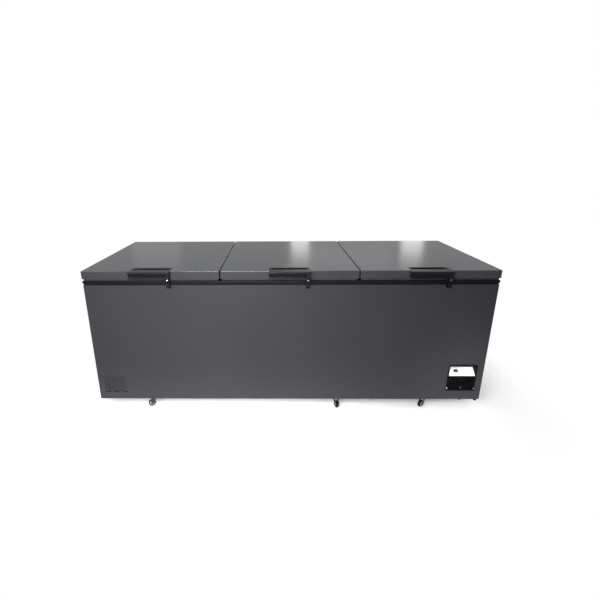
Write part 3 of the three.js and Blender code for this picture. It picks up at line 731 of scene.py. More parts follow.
# ---------------------------------------------------------------- control unit
# A black bezel with a duct behind it clips into the wrap. A sloping white face holds the display
# and three keys; a louvred insert below lets the condenser breathe. Two screws hold the bezel.
def white_resin(name, dark, light, roughness):
    """Glossy white resin with a hardly visible grain."""
    resin = Finish(name, coat_weight=0.25, subsurface_weight=0.04)
    grain = resin.noise(1500, 1)
    drift = resin.noise(12, 2)
    return resin.feed(
        base_color=resin.colour(dark, light, drift),
        roughness=roughness + grain * 0.08,
        normal=resin.bump(grain, 0.12, 0.00008),
    )


WHITE = white_resin("panel_white", (0.80, 0.81, 0.82), (0.90, 0.91, 0.92), 0.3)
MATT_BLACK = moulded("bezel_black", (0.0018, 0.0018, 0.0021), 0.55, shine=0.05)
eased_piece("control_bezel", "control_housing", MATT_BLACK, 0.0009)
eased_piece("control_face", "control_panel", WHITE, 0.0005)
eased_piece("lower_grille", "front_grille", MATT_BLACK, 0.0005)

SLOPE = math.radians(50)
face_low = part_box("control_panel")[0]
PANEL_THICK = 0.0025
foot = Vector((0, face_low.y, face_low.z + PANEL_THICK / math.sin(SLOPE)))
on_face = Matrix.Translation(foot) @ Matrix.Rotation(math.pi / 2 - SLOPE, 4, "X")


def laid(bm):
    """A shape drawn flat, X along and Y up the slope, put on the sloping face."""
    bm.transform(on_face)
    return bm


def plate(low, high, radius, bottom, top, chamfer=0.0004):
    """A flat plate with rounded corners and softened upper edge, between two heights."""
    return loft(stack(low, high, radius, [(0, bottom), (0, top - chamfer), (chamfer, top)]))


DISPLAY = {"x": 1.0370, "y": 0.0315, "wide": 0.0255, "tall": 0.0185, "frame": 0.0008}
window = (DISPLAY["x"] - DISPLAY["wide"] / 2, DISPLAY["y"] - DISPLAY["tall"] / 2)
window_end = (DISPLAY["x"] + DISPLAY["wide"] / 2, DISPLAY["y"] + DISPLAY["tall"] / 2)


def clouded(name, dark, light, roughness, drift, scale, detail=3, **constants):
    """A hard bright finish that drifts slowly between two colours, and with them in gloss."""
    finish = Finish(name, **constants)
    cloud = finish.noise(scale, detail)
    return finish.feed(base_color=finish.colour(dark, light, cloud), roughness=roughness + cloud * drift)


SMOKED = clouded(
    "smoked_window", (0.006, 0.007, 0.009), (0.012, 0.013, 0.016), 0.12, 0.06, 40, 1,
    coat_weight=1.0, coat_roughness=0.03,
)
frame_section = [(0, 0.0001), (0, 0.0006), (0.0004, 0.001), (0.0018, 0.001)]
frame_section += [(0.0022, 0.0006), (0.0022, 0.0001)]
around = [(inset - DISPLAY["frame"], z) for inset, z in frame_section]
frame_ring = loft(stack(window, window_end, 0.003, around), closed=True)
pane = plate(window, window_end, 0.0015, 0.0001, 0.0007)
add_piece("display_frame", laid(frame_ring), BLACK)
add_piece("display_window", laid(pane), SMOKED)

lit = Finish("lit_segment", emission_strength=0.15, roughness=0.4)
flicker = lit.noise(300, 1)
LIT = lit.feed(
    base_color=lit.colour((0.22, 0.23, 0.24), (0.30, 0.31, 0.32), flicker),
    emission_color=lit.colour((0.55, 0.62, 0.66), (0.70, 0.78, 0.82), flicker),
)
DIGIT = {"wide": 0.0046, "tall": 0.0090, "bar": 0.0010, "pitch": 0.0078, "lean": math.radians(5)}
BARS = {"1": "bc", "8": "abcdefg"}  # which bars of a seven-bar digit are lit


def digit_bars(digit, x, y):
    """Lit bars of one digit about its middle, each a hexagonal slip."""
    half_w, half_t, thick = DIGIT["wide"] / 2, DIGIT["tall"] / 2, DIGIT["bar"] / 2
    upper, lower, lean = half_t / 2, -half_t / 2, math.tan(DIGIT["lean"])
    bars = {
        "a": (0, half_t, 0), "g": (0, 0, 0), "d": (0, -half_t, 0),
        "f": (-half_w, upper, 90), "b": (half_w, upper, 90),
        "e": (-half_w, lower, 90), "c": (half_w, lower, 90),
    }
    slips = []
    for name in BARS[digit]:
        bar_x, bar_y, angle = bars[name]
        long = (half_t if angle else DIGIT["wide"]) / 2 - DIGIT["bar"] * 0.35
        tip = long - thick
        outline = [(-long, 0), (-tip, -thick), (tip, -thick), (long, 0), (tip, thick), (-tip, thick)]
        slip = prism(outline, "Z", 0.0007, 0.0009)
        spot = Matrix.Translation((x + bar_x + bar_y * lean, y + bar_y, 0))
        slip.transform(spot @ Matrix.Rotation(math.radians(angle), 4, "Z"))
        slips.append(slip)
    return slips


digits = []
for place, digit in enumerate("18"):
    digits += digit_bars(digit, DISPLAY["x"] + (place - 0.5) * DIGIT["pitch"], DISPLAY["y"])
add_piece("display_digits", laid(together(*digits)), LIT)


def key_cap(radius, bottom, top):
    """A round key with a dished top."""
    edge = 0.0009
    rim = arc((radius - edge, top - edge), edge, 0, 90, 5)
    dish = [(radius * 0.55, top - 0.0005), (0, top - 0.0007)]
    return [(0, bottom), (radius, bottom), (radius, top - edge)] + rim + dish


GREY_KEY = white_resin("key_grey", (0.54, 0.55, 0.56), (0.64, 0.65, 0.66), 0.4)
KEY_RADIUS = 0.0055
KEY_PROUD = 0.0014
KEY_STEM = 0.0056
KEY_UP = 0.030
for number in (1, 2, 3):
    low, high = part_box(f"button_{number}")
    middle = ((low.x + high.x) / 2, KEY_UP, 0)
    cap = turned(key_cap(KEY_RADIUS, -KEY_STEM, KEY_PROUD), centre=middle, sides=40)
    add_piece(f"key_{number}", laid(cap), GREY_KEY, f"button_{number}", [f"button_{number}"])


def pan_screw(radius):
    """Pan head with a cross recess, its seat at the origin and its axis along +Z."""
    tall = radius * 0.62
    head = [(0, 0), (1, 0), (1, 0.25), (0.92, 0.62), (0.66, 0.92), (0.3, 1), (0, 1)]
    arm, slim = radius * 0.5, radius * 0.13
    bm = turned([(r * radius, h * tall) for r, h in head], sides=24)
    for x, y in ((arm, slim), (slim, arm)):
        bm = carve(bm, block((-x, -y, tall * 0.45), (x, y, tall * 1.2)))
    return bm


CHROME = clouded("chrome_plate", (0.62, 0.63, 0.64), (0.78, 0.79, 0.80), 0.08, 0.12, 60, metallic=1.0)
bezel_low, bezel_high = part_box("control_housing")
SCREW_EDGE = 0.0052
SCREW_UP = 0.018
screw_row = (bezel_low.x + SCREW_EDGE, bezel_high.x - SCREW_EDGE)
bezel_screws = [(x, bezel_low.y, bezel_low.z + SCREW_UP) for x in screw_row]
fasten("bezel_screws", pan_screw(0.0044), bezel_screws, CHROME, facing=(math.pi / 2, 0, 0))

CLIP = {"half": 0.0025, "up": 0.007, "tall": 0.0125, "corner": 0.0012, "thick": 0.0011}
grille_low, grille_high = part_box("front_grille")
clip_x, clip_z = (grille_low.x + grille_high.x) / 2, grille_low.z + CLIP["up"]
clip_end = (clip_x + CLIP["half"], clip_z + CLIP["tall"])
clip = plate((clip_x - CLIP["half"], clip_z), clip_end, CLIP["corner"], 0, CLIP["thick"])
clip.transform(Matrix.Translation((0, grille_low.y, 0)) @ Matrix.Rotation(math.pi / 2, 4, "X"))
CLIP_GREY = white_resin("clip_grey", (0.09, 0.09, 0.095), (0.13, 0.13, 0.135), 0.4)
add_piece("grille_clip", clip, CLIP_GREY)


# ---------------------------------------------------------------- fan
# A small shaded-pole motor stands on a folded foot behind the grille and blows over the
# compressor. The impeller is moulded with five pitched blades and is pressed on the shaft.
fan_at = Vector(find_joint("fan_spin")["pos_m"])
FAN = {"radius": 0.067, "hub": 0.018, "half": 0.0098, "bore": 0.0034}
BLADE = {"count": 5, "pitch": 30, "sweep": 16, "gauge": 0.0013}


def fan_blade_shape():
    """One blade: wide and swept at the tip, pitched more at the root than at the tip."""
    rows, across = 8, 8
    root = FAN["hub"] * 0.9
    skins = []
    for side in (-0.5, 0.5):
        grid = []
        for i in range(rows + 1):
            t = i / rows
            radius = root + (FAN["radius"] - root) * t
            pitch = math.radians(BLADE["pitch"] * (1.1 - 0.45 * t))
            chord = 0.015 + 0.012 * math.sin(t * math.pi * 0.62)
            sweep = math.radians(BLADE["sweep"]) * t * t
            line = []
            for j in range(across + 1):
                s = (j / across - 0.5) * 2
                trim = 1 - 0.22 * s * s * max(0, t - 0.72) / 0.28
                camber = 0.0022 * (1 - s * s)
                along = s * chord * trim * math.cos(pitch)
                lift = max(-FAN["half"], min(FAN["half"], s * chord * 0.62 * math.sin(pitch) + camber))
                angle = sweep + along / max(radius, 0.02)
                x, y = radius * trim ** 0.1 * math.cos(angle), radius * math.sin(angle)
                line.append((x, y, lift + side * BLADE["gauge"]))
            grid.append(line)
        skins.append(grid)
    return shell(*skins)


def impeller():
    bore, radius, half = FAN["bore"], FAN["hub"], FAN["half"]
    hub = [(bore, -half), (radius, -half), (radius, half - 0.003), (radius - 0.003, half), (bore, half)]
    made = turned(hub + hub[:1], sides=48)
    for i in range(BLADE["count"]):
        blade = fan_blade_shape()
        blade.transform(Matrix.Rotation(math.tau * i / BLADE["count"], 4, "Z"))
        made = carve(made, blade, "UNION")
    made.transform(Matrix.Translation(fan_at) @ Matrix.Rotation(math.pi / 2, 4, "X"))
    return made


add_piece("fan_impeller", impeller(), BLACK, "fan", ["fan_blade"])

bracket_low, bracket_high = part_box("fan_bracket")
MOTOR_RADIUS = 0.024
MOTOR_REACH = 0.027
STALK = 0.013
FOOT = {"half": 0.035, "thick": 0.002}
radius, front, back = MOTOR_RADIUS, fan_at.y + 0.016, bracket_high.y
shaft_end = fan_at.y - 0.010
motor = [(0, shaft_end), (0.003, shaft_end), (0.003, front), (0.010, front), (0.012, front + 0.003)]
motor += [(radius - 0.002, front + 0.003), (radius, front + 0.005), (radius, back - 0.005)]
motor += [(radius - 0.002, back - 0.003), (0.009, back - 0.003), (0.008, back), (0, back)]
motor_can = turned(motor, (0, 1, 0), (fan_at.x, 0, fan_at.z))
middle_y = (front + back) / 2
foot_low, foot_top = bracket_low.z, bracket_low.z + FOOT["thick"]
stalk_end = (fan_at.x + STALK, middle_y + STALK, fan_at.z)
stalk = block((fan_at.x - STALK, middle_y - STALK, foot_low), stalk_end, 0.0015)
foot_end = (bracket_high.x, middle_y + FOOT["half"], foot_top)
foot_plate = block((bracket_low.x, middle_y - FOOT["half"], foot_low), foot_end, 0.0006)
add_piece("fan_motor", together(motor_can, stalk, foot_plate), ZINC, nodes=["fan_bracket"])
foot_bolts = square_of(fan_at.x, middle_y, foot_top, MOTOR_REACH)
fasten("motor_bolts", hex_bolt(0.007, 0.0035), foot_bolts, PLATED, seed=3)


# ---------------------------------------------------------------- compressor
# A hermetic pot, drawn from steel in two halves with a weld seam, stands on a pressed plate
# and four rubber grommets. A clipped cover hides its terminals; two copper stubs leave it.
low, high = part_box("compressor")
pot_at = Vector(((low.x + high.x) / 2, (low.y + high.y) / 2, 0))
POT = {"radius": 0.0865, "wall": 0.006, "lift": 0.012, "seam": 0.0875, "seam_up": 0.085, "plate": 0.210}
pot_bottom = low.z + POT["lift"]


def compressor_pot():
    """The pot's wall: up the inside to its crown, and down the outside past the weld seam."""
    r, w, top, seam = POT["radius"], POT["wall"], high.z, pot_bottom + POT["seam_up"]
    inside = [(0, top - w), (0.030, top - w), (r - 2 * w, top - 0.04), (r - w, top - 0.065)]
    inside += [(r - w, pot_bottom)]
    outside = [(r - 0.004, pot_bottom), (r, pot_bottom + 0.006), (r, seam - 0.002)]
    outside += [(POT["seam"], seam - 0.001), (POT["seam"], seam + 0.001), (r, seam + 0.002), (r, top - 0.057)]
    outside += arc((0.030, top - 0.057), 0.0565, 0, 90, 10)[1:] + [(0, top - 0.0005)]
    return turned(inside + outside, centre=pot_at, sides=96)


def pot_foot():
    """The pressed plate under the pot: a rolled edge about a flat web."""
    reach = Vector((POT["plate"] / 2, POT["plate"] / 2, 0))
    low, high = pot_at - reach, pot_at + reach
    edge = [(0, -0.003), (0, 0.003), (0.001, 0.004), (0.016, 0.004), (0.019, -0.001)]
    edge += [(0.019, -0.004), (0.001, -0.004)]
    web = [(0.018, -0.004), (0.018, -0.001)]
    edge, web = ([(inset, pot_bottom + z) for inset, z in part] for part in (edge, web))
    return together(loft(stack(low, high, 0.022, edge), closed=True), loft(stack(low, high, 0.022, web)))


pot_enamel = coated("compressor_enamel", (0.011, 0.011, 0.012), 0.32)
terminal = block((-0.020, -0.016, -0.022), (0.020, 0.016, 0.022), 0.005, 3)
terminal.transform(Matrix.Translation((pot_at.x, pot_at.y - POT["radius"] + 0.002, pot_bottom + 0.050)))
pot = together(compressor_pot(), pot_foot())
add_piece("compressor_pot", pot, pot_enamel, nodes=["compressor"])
add_piece("terminal_cover", terminal, BLACK)


def stub(points, radius, sides=16):
    """A bent tube with closed ends along a few points."""
    path = bpy.data.curves.new("tube", "CURVE")
    path.dimensions = "3D"
    path.bevel_depth, path.bevel_resolution, path.use_fill_caps = radius, sides // 4, True
    line = path.splines.new("BEZIER")
    line.bezier_points.add(len(points) - 1)
    for spot, place in zip(line.bezier_points, points):
        spot.co = place
        spot.handle_left_type = spot.handle_right_type = "AUTO"
    made = blank_of(off_bench(on_bench(path)))
    bmesh.ops.remove_doubles(made, verts=made.verts[:], dist=1e-6)
    bmesh.ops.recalc_face_normals(made, faces=made.faces[:])
    return made


COPPER = clouded("copper_tube", (0.46, 0.20, 0.11), (0.80, 0.42, 0.27), 0.2, 0.25, 30, 4, metallic=1.0)
STUB_ROUTE = [(0, 0), (0.016, 0), (0.020, 0.018), (0.020, 0.042)]  # out from the pot, and up
stubs = []
for side, lift in ((-1, 0.10), (1, 0.045)):
    start = pot_at + Vector((side * (POT["radius"] - 0.003), 0.02, pot_bottom + lift))
    stubs.append(stub([start + Vector((side * out, 0, up)) for out, up in STUB_ROUTE], 0.0032))
add_piece("copper_stubs", together(*stubs), COPPER)

# The grommets are moulded 11.8 mm tall and the pot's weight squeezes them by a third.
SQUEEZE = 0.66
rubber = moulded("grommet_rubber", (0.014, 0.014, 0.014), 0.75)
grommet = [(0, -0.0118), (0.0115, -0.0118), (0.012, -0.010), (0.012, -0.007), (0.0095, -0.006)]
grommet += [(0.0095, -0.005), (0.012, -0.004), (0.012, 0), (0, 0)]
squeezed = turned([(r, h * SQUEEZE) for r, h in grommet], sides=32)
grommet_places = square_of(pot_at.x, pot_at.y, pot_bottom - 0.0041, POT["plate"] / 2 - POT["lift"])
fasten("grommets", squeezed, grommet_places, rubber)
bolt_places = [(x, y, pot_bottom + 0.004) for x, y, _ in grommet_places]
fasten("compressor_bolts", hex_bolt(0.011, 0.006), bolt_places, PLATED, seed=5)


# ---------------------------------------------------------------- machine bay cover, lead bush and drain
# A flat steel cover with pressed louvres is screwed over the bay's opening at the back. The
# supply lead leaves it by a bush, and a threaded cap closes the tank's drain underneath.
TO_THE_BACK = (-math.pi / 2, 0, 0)
eased_piece("bay_cover", "machine_cover", BODY_PAINT, 0.0004)
COVER = {"slots": 9, "slot": 0.005, "margin": 0.040, "edge": 0.0045}
cover_low, cover_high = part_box("machine_cover")
cover_middle = (cover_low.x + cover_high.x) / 2
hood_half = (cover_high.x - cover_low.x) / 2 - COVER["margin"]
slot_pitch = (cover_high.z - cover_low.z - 2 * COVER_LAP) / 2 / COVER["slots"]
first_hood = cover_high.z - COVER_LAP - slot_pitch + COVER["slot"] * 0.3
cover_hoods = [(cover_middle, cover_high.y, first_hood - i * slot_pitch) for i in range(COVER["slots"])]
hood = pressed_hood(hood_half, 0.0045, 0.0062, 0.0008, 40, 24)
fasten("cover_hoods", hood, cover_hoods, BODY_PAINT, facing=(0, 0, math.pi), turn=0)
cover_sides, cover_ends = [
    (lower + COVER["edge"], upper - COVER["edge"])
    for lower, upper in ((cover_low.x, cover_high.x), (cover_low.z, cover_high.z))
]
cover_screws = [(x, z) for x in (cover_sides[0], cover_middle, cover_sides[1]) for z in cover_ends]
cover_screws += [(x, (cover_low.z + cover_high.z) / 2) for x in cover_sides]
cover_screws = [(x, cover_high.y, z) for x, z in cover_screws]
fasten("cover_screws", pan_screw(0.0036), cover_screws, PLATED, facing=TO_THE_BACK, seed=7)

gland_low, gland_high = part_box("cable_gland")
gland_at = ((gland_low.x + gland_high.x) / 2, 0, (gland_low.z + gland_high.z) / 2)
GLAND = {"bore": 0.0045, "neck": 0.0076, "flange": 0.0128, "face": 0.4731}
bore, neck, flange, face = GLAND.values()
bush = [(bore, gland_low.y), (neck, gland_low.y), (neck, face), (flange, face), (flange, face + 0.003)]
bush += [(flange - 0.0012, face + 0.0042), (0.0098, face + 0.0048), (0.0088, gland_high.y - 0.0015)]
bush += [(0.0074, gland_high.y - 0.0002), (0.0058, gland_high.y - 0.0002), (bore, gland_high.y - 0.0018)]
bush_mesh = turned(bush + bush[:1], (0, 1, 0), gland_at)
add_piece("lead_bush", bush_mesh, BLACK, nodes=["cable_gland"])

drain_low, drain_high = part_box("drain_cap")
drain_at = ((drain_low.x + drain_high.x) / 2, (drain_low.y + drain_high.y) / 2, 0)
DRAIN_RADIUS = 0.0176
KNURLS = 32
top, low_end, wide = drain_high.z, drain_low.z, DRAIN_RADIUS
cap = [(0, top), (wide, top), (wide, top - 0.0046), (wide - 0.0014, top - 0.006), (0.0085, top - 0.006)]
cap += [(0.0068, top - 0.007), (0.0068, low_end + 0.001), (0.0058, low_end), (0, low_end)]
knurl = block((-0.0006, -0.0005, -0.0022), (0.0006, 0.0005, 0.0022), 0.0003, 1)
turns = [math.tau * i / KNURLS for i in range(KNURLS)]
knurl_places = [
    (drain_at[0] + wide * math.cos(a), drain_at[1] + wide * math.sin(a), top - 0.0026) for a in turns
]
add_piece("drain_plug", turned(cap, centre=drain_at), BLACK, nodes=["drain_cap"])
fasten("drain_knurls", knurl, knurl_places, BLACK)

# A rubber boot stands on the stud under the right front corner.
STUD_INSET = (0.019, 0.015)
stud_at = (wrap_high.x - STUD_INSET[0], wrap_low.y + STUD_INSET[1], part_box("base_pan")[0].z)
boot = [(0, -0.0012), (0.0086, -0.0012), (0.0094, -0.0004), (0.0092, 0.012), (0.00825, 0.012)]
boot += [(0.00825, -0.0002), (0, -0.0002)]
add_piece("stud_boot", turned(boot, centre=stud_at, sides=40), BLACK)


# ---------------------------------------------------------------- lid skins
# Each lid is a shallow pan drawn from the same precoated steel, a little glossier than the
# body, with a tight radius all round its top and a notch in front that takes the handle.
LID_PAINT = painted(
    "lid_paint", (0.031, 0.032, 0.036), (0.044, 0.046, 0.051), 0.20, specular_ior_level=0.5
)
LID = {"sheet": 0.001, "corner": 0.006, "edge": 0.004}
NOTCH_DEEP = 0.042
CLEAR = 0.0003


def lid_skin(number):
    """The pan's wall, up the inside and down the outside, less the notch for the grip."""
    low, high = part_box(f"lid_skin_{number}")
    edge, sheet = LID["edge"], LID["sheet"]

    def bend(inset, size, top):
        return [(inset + size - x, top - size + y) for x, y in arc((0, 0), size, 0, 90, 5)]

    outside = [(0, low.z)] + bend(0, edge, high.z)
    inside = [(sheet, low.z)] + bend(sheet, edge - sheet, high.z - sheet)
    skin = loft(stack(low, high, LID["corner"], inside[::-1] + outside))
    grip_low, grip_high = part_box(f"lid_handle_{number}")
    corner = (grip_low.x - CLEAR, low.y - 0.01, high.z - NOTCH_DEEP - CLEAR)
    return carve(skin, block(corner, (grip_high.x + CLEAR, grip_high.y + CLEAR, high.z + 0.01)))


for number in (1, 2, 3):
    skin_node = f"lid_skin_{number}"
    add_piece(f"lid_pan_{number}", lid_skin(number), LID_PAINT, f"lid_{number}", [skin_node])


# ---------------------------------------------------------------- lid trays and seals
# A vacuum-formed white tray closes each lid underneath. Its middle is pushed down into the
# mouth as a plug and ribbed to keep it flat. A soft seal with a hollow bulb runs round it.
TRAY_WHITE = white_resin("tray_white", (0.72, 0.73, 0.73), (0.82, 0.83, 0.83), 0.42)
SEAL_GREY = moulded("seal_rubber", (0.020, 0.020, 0.021), 0.7)
TRAY = {"thick": 0.0025, "corner": 0.020, "ribs": 7, "rib": 0.006, "rib_up": 0.004}
RIB_SPAN = 0.62  # how much of the tray's width and depth the ribs take up


def lid_tray(number):
    """Flange, plug and hollow in one closed wall; the plug is as wide as the CAD tray's underside."""
    low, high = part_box(f"lid_tray_{number}")
    seal_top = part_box(f"lid_gasket_{number}")[1].z + CLEAR
    points = [v.co for v in frame["nodes"][f"lid_tray_{number}"].data.vertices]
    deep = [p for p in points if p.z < low.z + 0.001]
    plug_low = (min(p.x for p in deep), min(p.y for p in deep))
    plug_high = (max(p.x for p in deep), max(p.y for p in deep))
    t, r, base, top = TRAY["thick"], TRAY["corner"], low.z, high.z
    hollow = [(0.054, base + 0.004 + t), (0.050, base + 0.004 + t), (0.044, base + t), (0.012, base + t)]
    hollow += [(0.0055, base + 0.0045), (t + 0.0002, top)]
    plug = [(0.0, seal_top), (0.0015, base + 0.006), (0.0030, base + 0.0025), (0.0060, base + 0.0006)]
    plug += [(0.010, base), (0.045, base), (0.047, base + 0.0005), (0.050, base + 0.0035)]
    plug += [(0.052, base + 0.004)]
    loops = stack(plug_low, plug_high, r, hollow)
    loops += stack(low, high, 0.004, [(0, top), (0, seal_top)])
    return loft(loops + stack(plug_low, plug_high, r, plug))


def tray_rib(long):
    """A low rounded rib, half sunk in the tray."""
    half = TRAY["rib"] / 2
    angles = [math.pi * i / 8 for i in range(9)]
    section = [(half * math.cos(a), 0.0002 - half * 0.6 * math.sin(a)) for a in angles]
    return prism(section, "Y", -long / 2, long / 2)


def seal_ring(number):
    """Bellows section with a bulb below, run round the lid's underside."""
    low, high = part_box(f"lid_gasket_{number}")
    top, bottom = high.z, low.z
    section = [(0, top), (0.022, top), (0.022, top - 0.0016), (0.0165, top - 0.003)]
    section += [(0.0185, top - 0.0065), (0.0172, bottom + 0.0022), (0.0145, bottom + 0.0004), (0.011, bottom)]
    section += [(0.0075, bottom + 0.0004), (0.0048, bottom + 0.0022), (0.0035, top - 0.0065)]
    section += [(0.0055, top - 0.003), (0, top - 0.0016)]
    return loft(stack(low, high, 0.010, section), closed=True)


for number in (1, 2, 3):
    body = f"lid_{number}"
    tray, seal = f"lid_tray_{number}", f"lid_gasket_{number}"
    add_piece(f"inner_tray_{number}", lid_tray(number), TRAY_WHITE, body, [tray])
    low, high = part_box(tray)
    gaps = TRAY["ribs"] - 1
    spacing = (high.x - low.x) * RIB_SPAN / gaps
    start = (low.x + high.x) / 2 - spacing * gaps / 2
    places = [(start + i * spacing, 0, low.z + TRAY["rib_up"]) for i in range(TRAY["ribs"])]
    rib = tray_rib((high.y - low.y) * RIB_SPAN)
    fasten(f"tray_ribs_{number}", rib, places, TRAY_WHITE, body, turn=0)
    add_piece(f"lid_seal_{number}", seal_ring(number), SEAL_GREY, body, [seal])


# ---------------------------------------------------------------- handles and locks
# A black moulded grip is let into each lid's front: a bar, a finger pocket behind it, and a
# boss at its right end for a cam lock. The core is plated; the cam turns down behind a catch.
GRIP_BLACK = moulded("grip_black", (0.0040, 0.0040, 0.0049), 0.33, 0.25, shine=0.22)
HANDLE = {"half": 0.118, "front": -0.504, "back": -0.396, "bottom": 0.874, "top": 0.916}
POCKET = {"half": 0.106, "front": -0.445, "back": -0.405, "bottom": 0.884, "corner": 0.009, "slope": 0.016}
BOSS = {"at": 0.104, "half": 0.012, "bottom": 0.856, "back": -0.485, "bore": 0.0085}


def finger_pocket():
    """What is taken out of the grip behind its front edge, with sloping ends and a rounded bottom."""
    front, rear, low, top = POCKET["front"], POCKET["back"], POCKET["bottom"], HANDLE["top"]
    wide, narrow, corner = POCKET["half"], POCKET["half"] - POCKET["slope"], POCKET["corner"]
    loops = [ring_points((-narrow, front + 0.003), (narrow, rear - 0.003), corner, low, 5)]
    for half, z in ((narrow + 0.003, low + 0.003), (wide - 0.001, top - 0.001), (wide + 0.001, top + 0.001)):
        loops.append(ring_points((-half, front), (half, rear), corner, z, 5))
    return loft(loops)


def grip(number):
    """The grip about its own middle, then moved to its lid."""
    face, top, bottom, back = HANDLE["front"], HANDLE["top"], HANDLE["bottom"], HANDLE["back"]
    outline = [(back, bottom), (face + 0.005, bottom), (face + 0.005, bottom + 0.0045)]
    outline += [(face + 0.011, bottom + 0.0085), (face + 0.011, bottom + 0.0145)]
    outline += [(face + 0.002, bottom + 0.0215)]
    outline += arc((face + 0.006, top - 0.006), 0.006, 180, 90, 5) + [(back, top)]
    bar = soften(prism(outline, "X", -HANDLE["half"], HANDLE["half"]), 0.0012, 2, 28)
    x, half, bore = BOSS["at"], BOSS["half"], BOSS["bore"]
    boss = block((x - half, face, BOSS["bottom"]), (x + half, BOSS["back"], top - 0.006), 0.002, 3)
    lock_z = find_joint(f"lock_{number}_turn")["pos_m"][2]
    drill = turned([(0, -0.006), (bore, -0.006), (bore, 0.030), (0, 0.030)], (0, 1, 0), (x, face, lock_z), 40)
    room_end = (x + half, BOSS["back"] + 0.005, lock_z + 0.012)
    cam_room = block((x - 0.025, BOSS["back"], lock_z - 0.012), room_end)
    bar = carve(carve(bar, finger_pocket()), boss, "UNION")
    bar = carve(carve(bar, drill), cam_room)
    low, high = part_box(f"lid_handle_{number}")
    bar.transform(Matrix.Translation(((low.x + high.x) / 2, 0, 0)))
    return bar


def nose_of(joint):
    """Where a lock's face stands, on its own axis."""
    x, _, z = joint["pos_m"]
    return Vector((x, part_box(joint["child"].replace("lock", "lock_barrel"))[0].y, z))


BARREL = {"radius": 0.0079, "long": 0.0185, "cam": 0.007}


def lock_barrel(joint):
    """Barrel with a chamfered face sunk about the core, and the cam on its tail."""
    nose = nose_of(joint)
    radius, long = BARREL["radius"], BARREL["long"]
    profile = [(0, 0.0014), (0.0038, 0.0014), (0.0046, 0.0004), (radius - 0.0012, 0)]
    profile += [(radius, 0.0012), (radius, long), (0, long)]
    x, z, half = nose.x, nose.z, BARREL["cam"] / 2
    cam = [(x, z - half)] + arc((x, z), half, -90, 90, 6) + [(x, z + half)]
    cam += arc((x - 0.0185, z), half, 90, 270, 6)
    cam_at = nose.y + long + 0.002
    cam_plate = soften(prism(cam, "Y", cam_at, cam_at + 0.003), 0.0004, 1)
    return together(turned(profile, (0, 1, 0), nose), cam_plate)


def lock_core(joint):
    """The plated core, a little domed, with the key slot across it."""
    nose = nose_of(joint)
    dome = [(0, 0.0003), (0.0018, 0.0004), (0.0030, 0.0008), (0.0034, 0.00135), (0, 0.00135)]
    key_slot = block(nose - Vector((0.0005, 0.002, 0.0022)), nose + Vector((0.0005, 0.0011, 0.0022)))
    return carve(turned(dome, (0, 1, 0), nose, 32), key_slot)


DARK_CHROME = clouded(
    "black_chrome", (0.030, 0.030, 0.032), (0.060, 0.060, 0.063), 0.25, 0.15, 90, metallic=1.0
)
for number in (1, 2, 3):
    lid, lock = f"lid_{number}", f"lock_{number}"
    turn = find_joint(f"{lock}_turn")
    add_piece(f"grip_{number}", grip(number), GRIP_BLACK, lid, [f"lid_handle_{number}"])
    add_piece(f"barrel_{number}", lock_barrel(turn), DARK_CHROME, lock, [f"lock_barrel_{number}"])
    add_piece(f"core_{number}", lock_core(turn), CHROME, lock)
    eased_piece(f"keeper_{number}", f"lock_catch_{number}", BLACK, 0.0008)


# ---------------------------------------------------------------- hinges
# Two plated steel hinges carry each lid at the back: a leaf with one knuckle on the lid, a base
# with two arms on the cabinet, and a riveted pin through both. Four screws hold each part.
HINGE_STEEL = galvanised("hinge_steel", (0.42, 0.43, 0.44))
HINGE = {"sheet": 0.003, "screws": 0.022, "arms": 0.006, "pin_half": 0.0206, "edge": 0.007}
RIVET_HEAD = [(0, 0), (0.0055, 0), (0.0055, 0.0008), (0.0035, 0.0022), (0, 0.0026)]
for number in (1, 2, 3):
    for side in ("left", "right"):
        lid, which = f"lid_{number}", f"{number}_{side}"
        leaf, base = f"hinge_leaf_{which}", f"hinge_base_{which}"
        eased_piece(f"leaf_{which}", leaf, HINGE_STEEL, 0.0008, lid, angle=35)
        eased_piece(f"base_{which}", base, HINGE_STEEL, 0.0008, angle=35)
        low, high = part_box(leaf)
        middle, face = (low.x + high.x) / 2, low.y + HINGE["sheet"]
        columns = (middle - HINGE["screws"], middle + HINGE["screws"])
        spots = [(x, face, z) for x in columns for z in (low.z + HINGE["edge"], high.z - HINGE["edge"])]
        fasten(f"leaf_screws_{which}", pan_screw(0.0036), spots, PLATED, lid, facing=TO_THE_BACK)
        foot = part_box(base)[0]
        arms = ((-HINGE["arms"], 0.040), (HINGE["arms"], 0.064))
        spots = [(middle + along, foot.y + HINGE["sheet"], foot.z + up) for along, up in arms]
        spots += [(x, foot.y + HINGE["sheet"], foot.z + 0.012) for x in columns]
        fasten(f"base_screws_{which}", pan_screw(0.0036), spots, PLATED, facing=TO_THE_BACK, seed=2)
        _, pin_y, pin_z = find_joint(f"lid_{number}_hinge")["pos_m"]
        heads = []
        for way in (-1, 1):
            place = (middle + way * HINGE["pin_half"], pin_y, pin_z)
            heads.append(turned(RIVET_HEAD, (way, 0, 0), place, 24))
        add_piece(f"pin_heads_{which}", together(*heads), PLATED)


# ---------------------------------------------------------------- studio
# A round of white paper lies under the freezer and fades into a white dome that only the camera
# sees. A wide soft ceiling and two soft boxes from the front left light it, a narrow one lifts
# the white panel, and a wall and four small lamps behind it show as highlights on the lids.
FLOOR = {"radius": 6.0, "half_x": 1.2, "half_y": 0.5, "fade_from": 0.02, "fade": 0.55}
DOME_RADIUS = 25

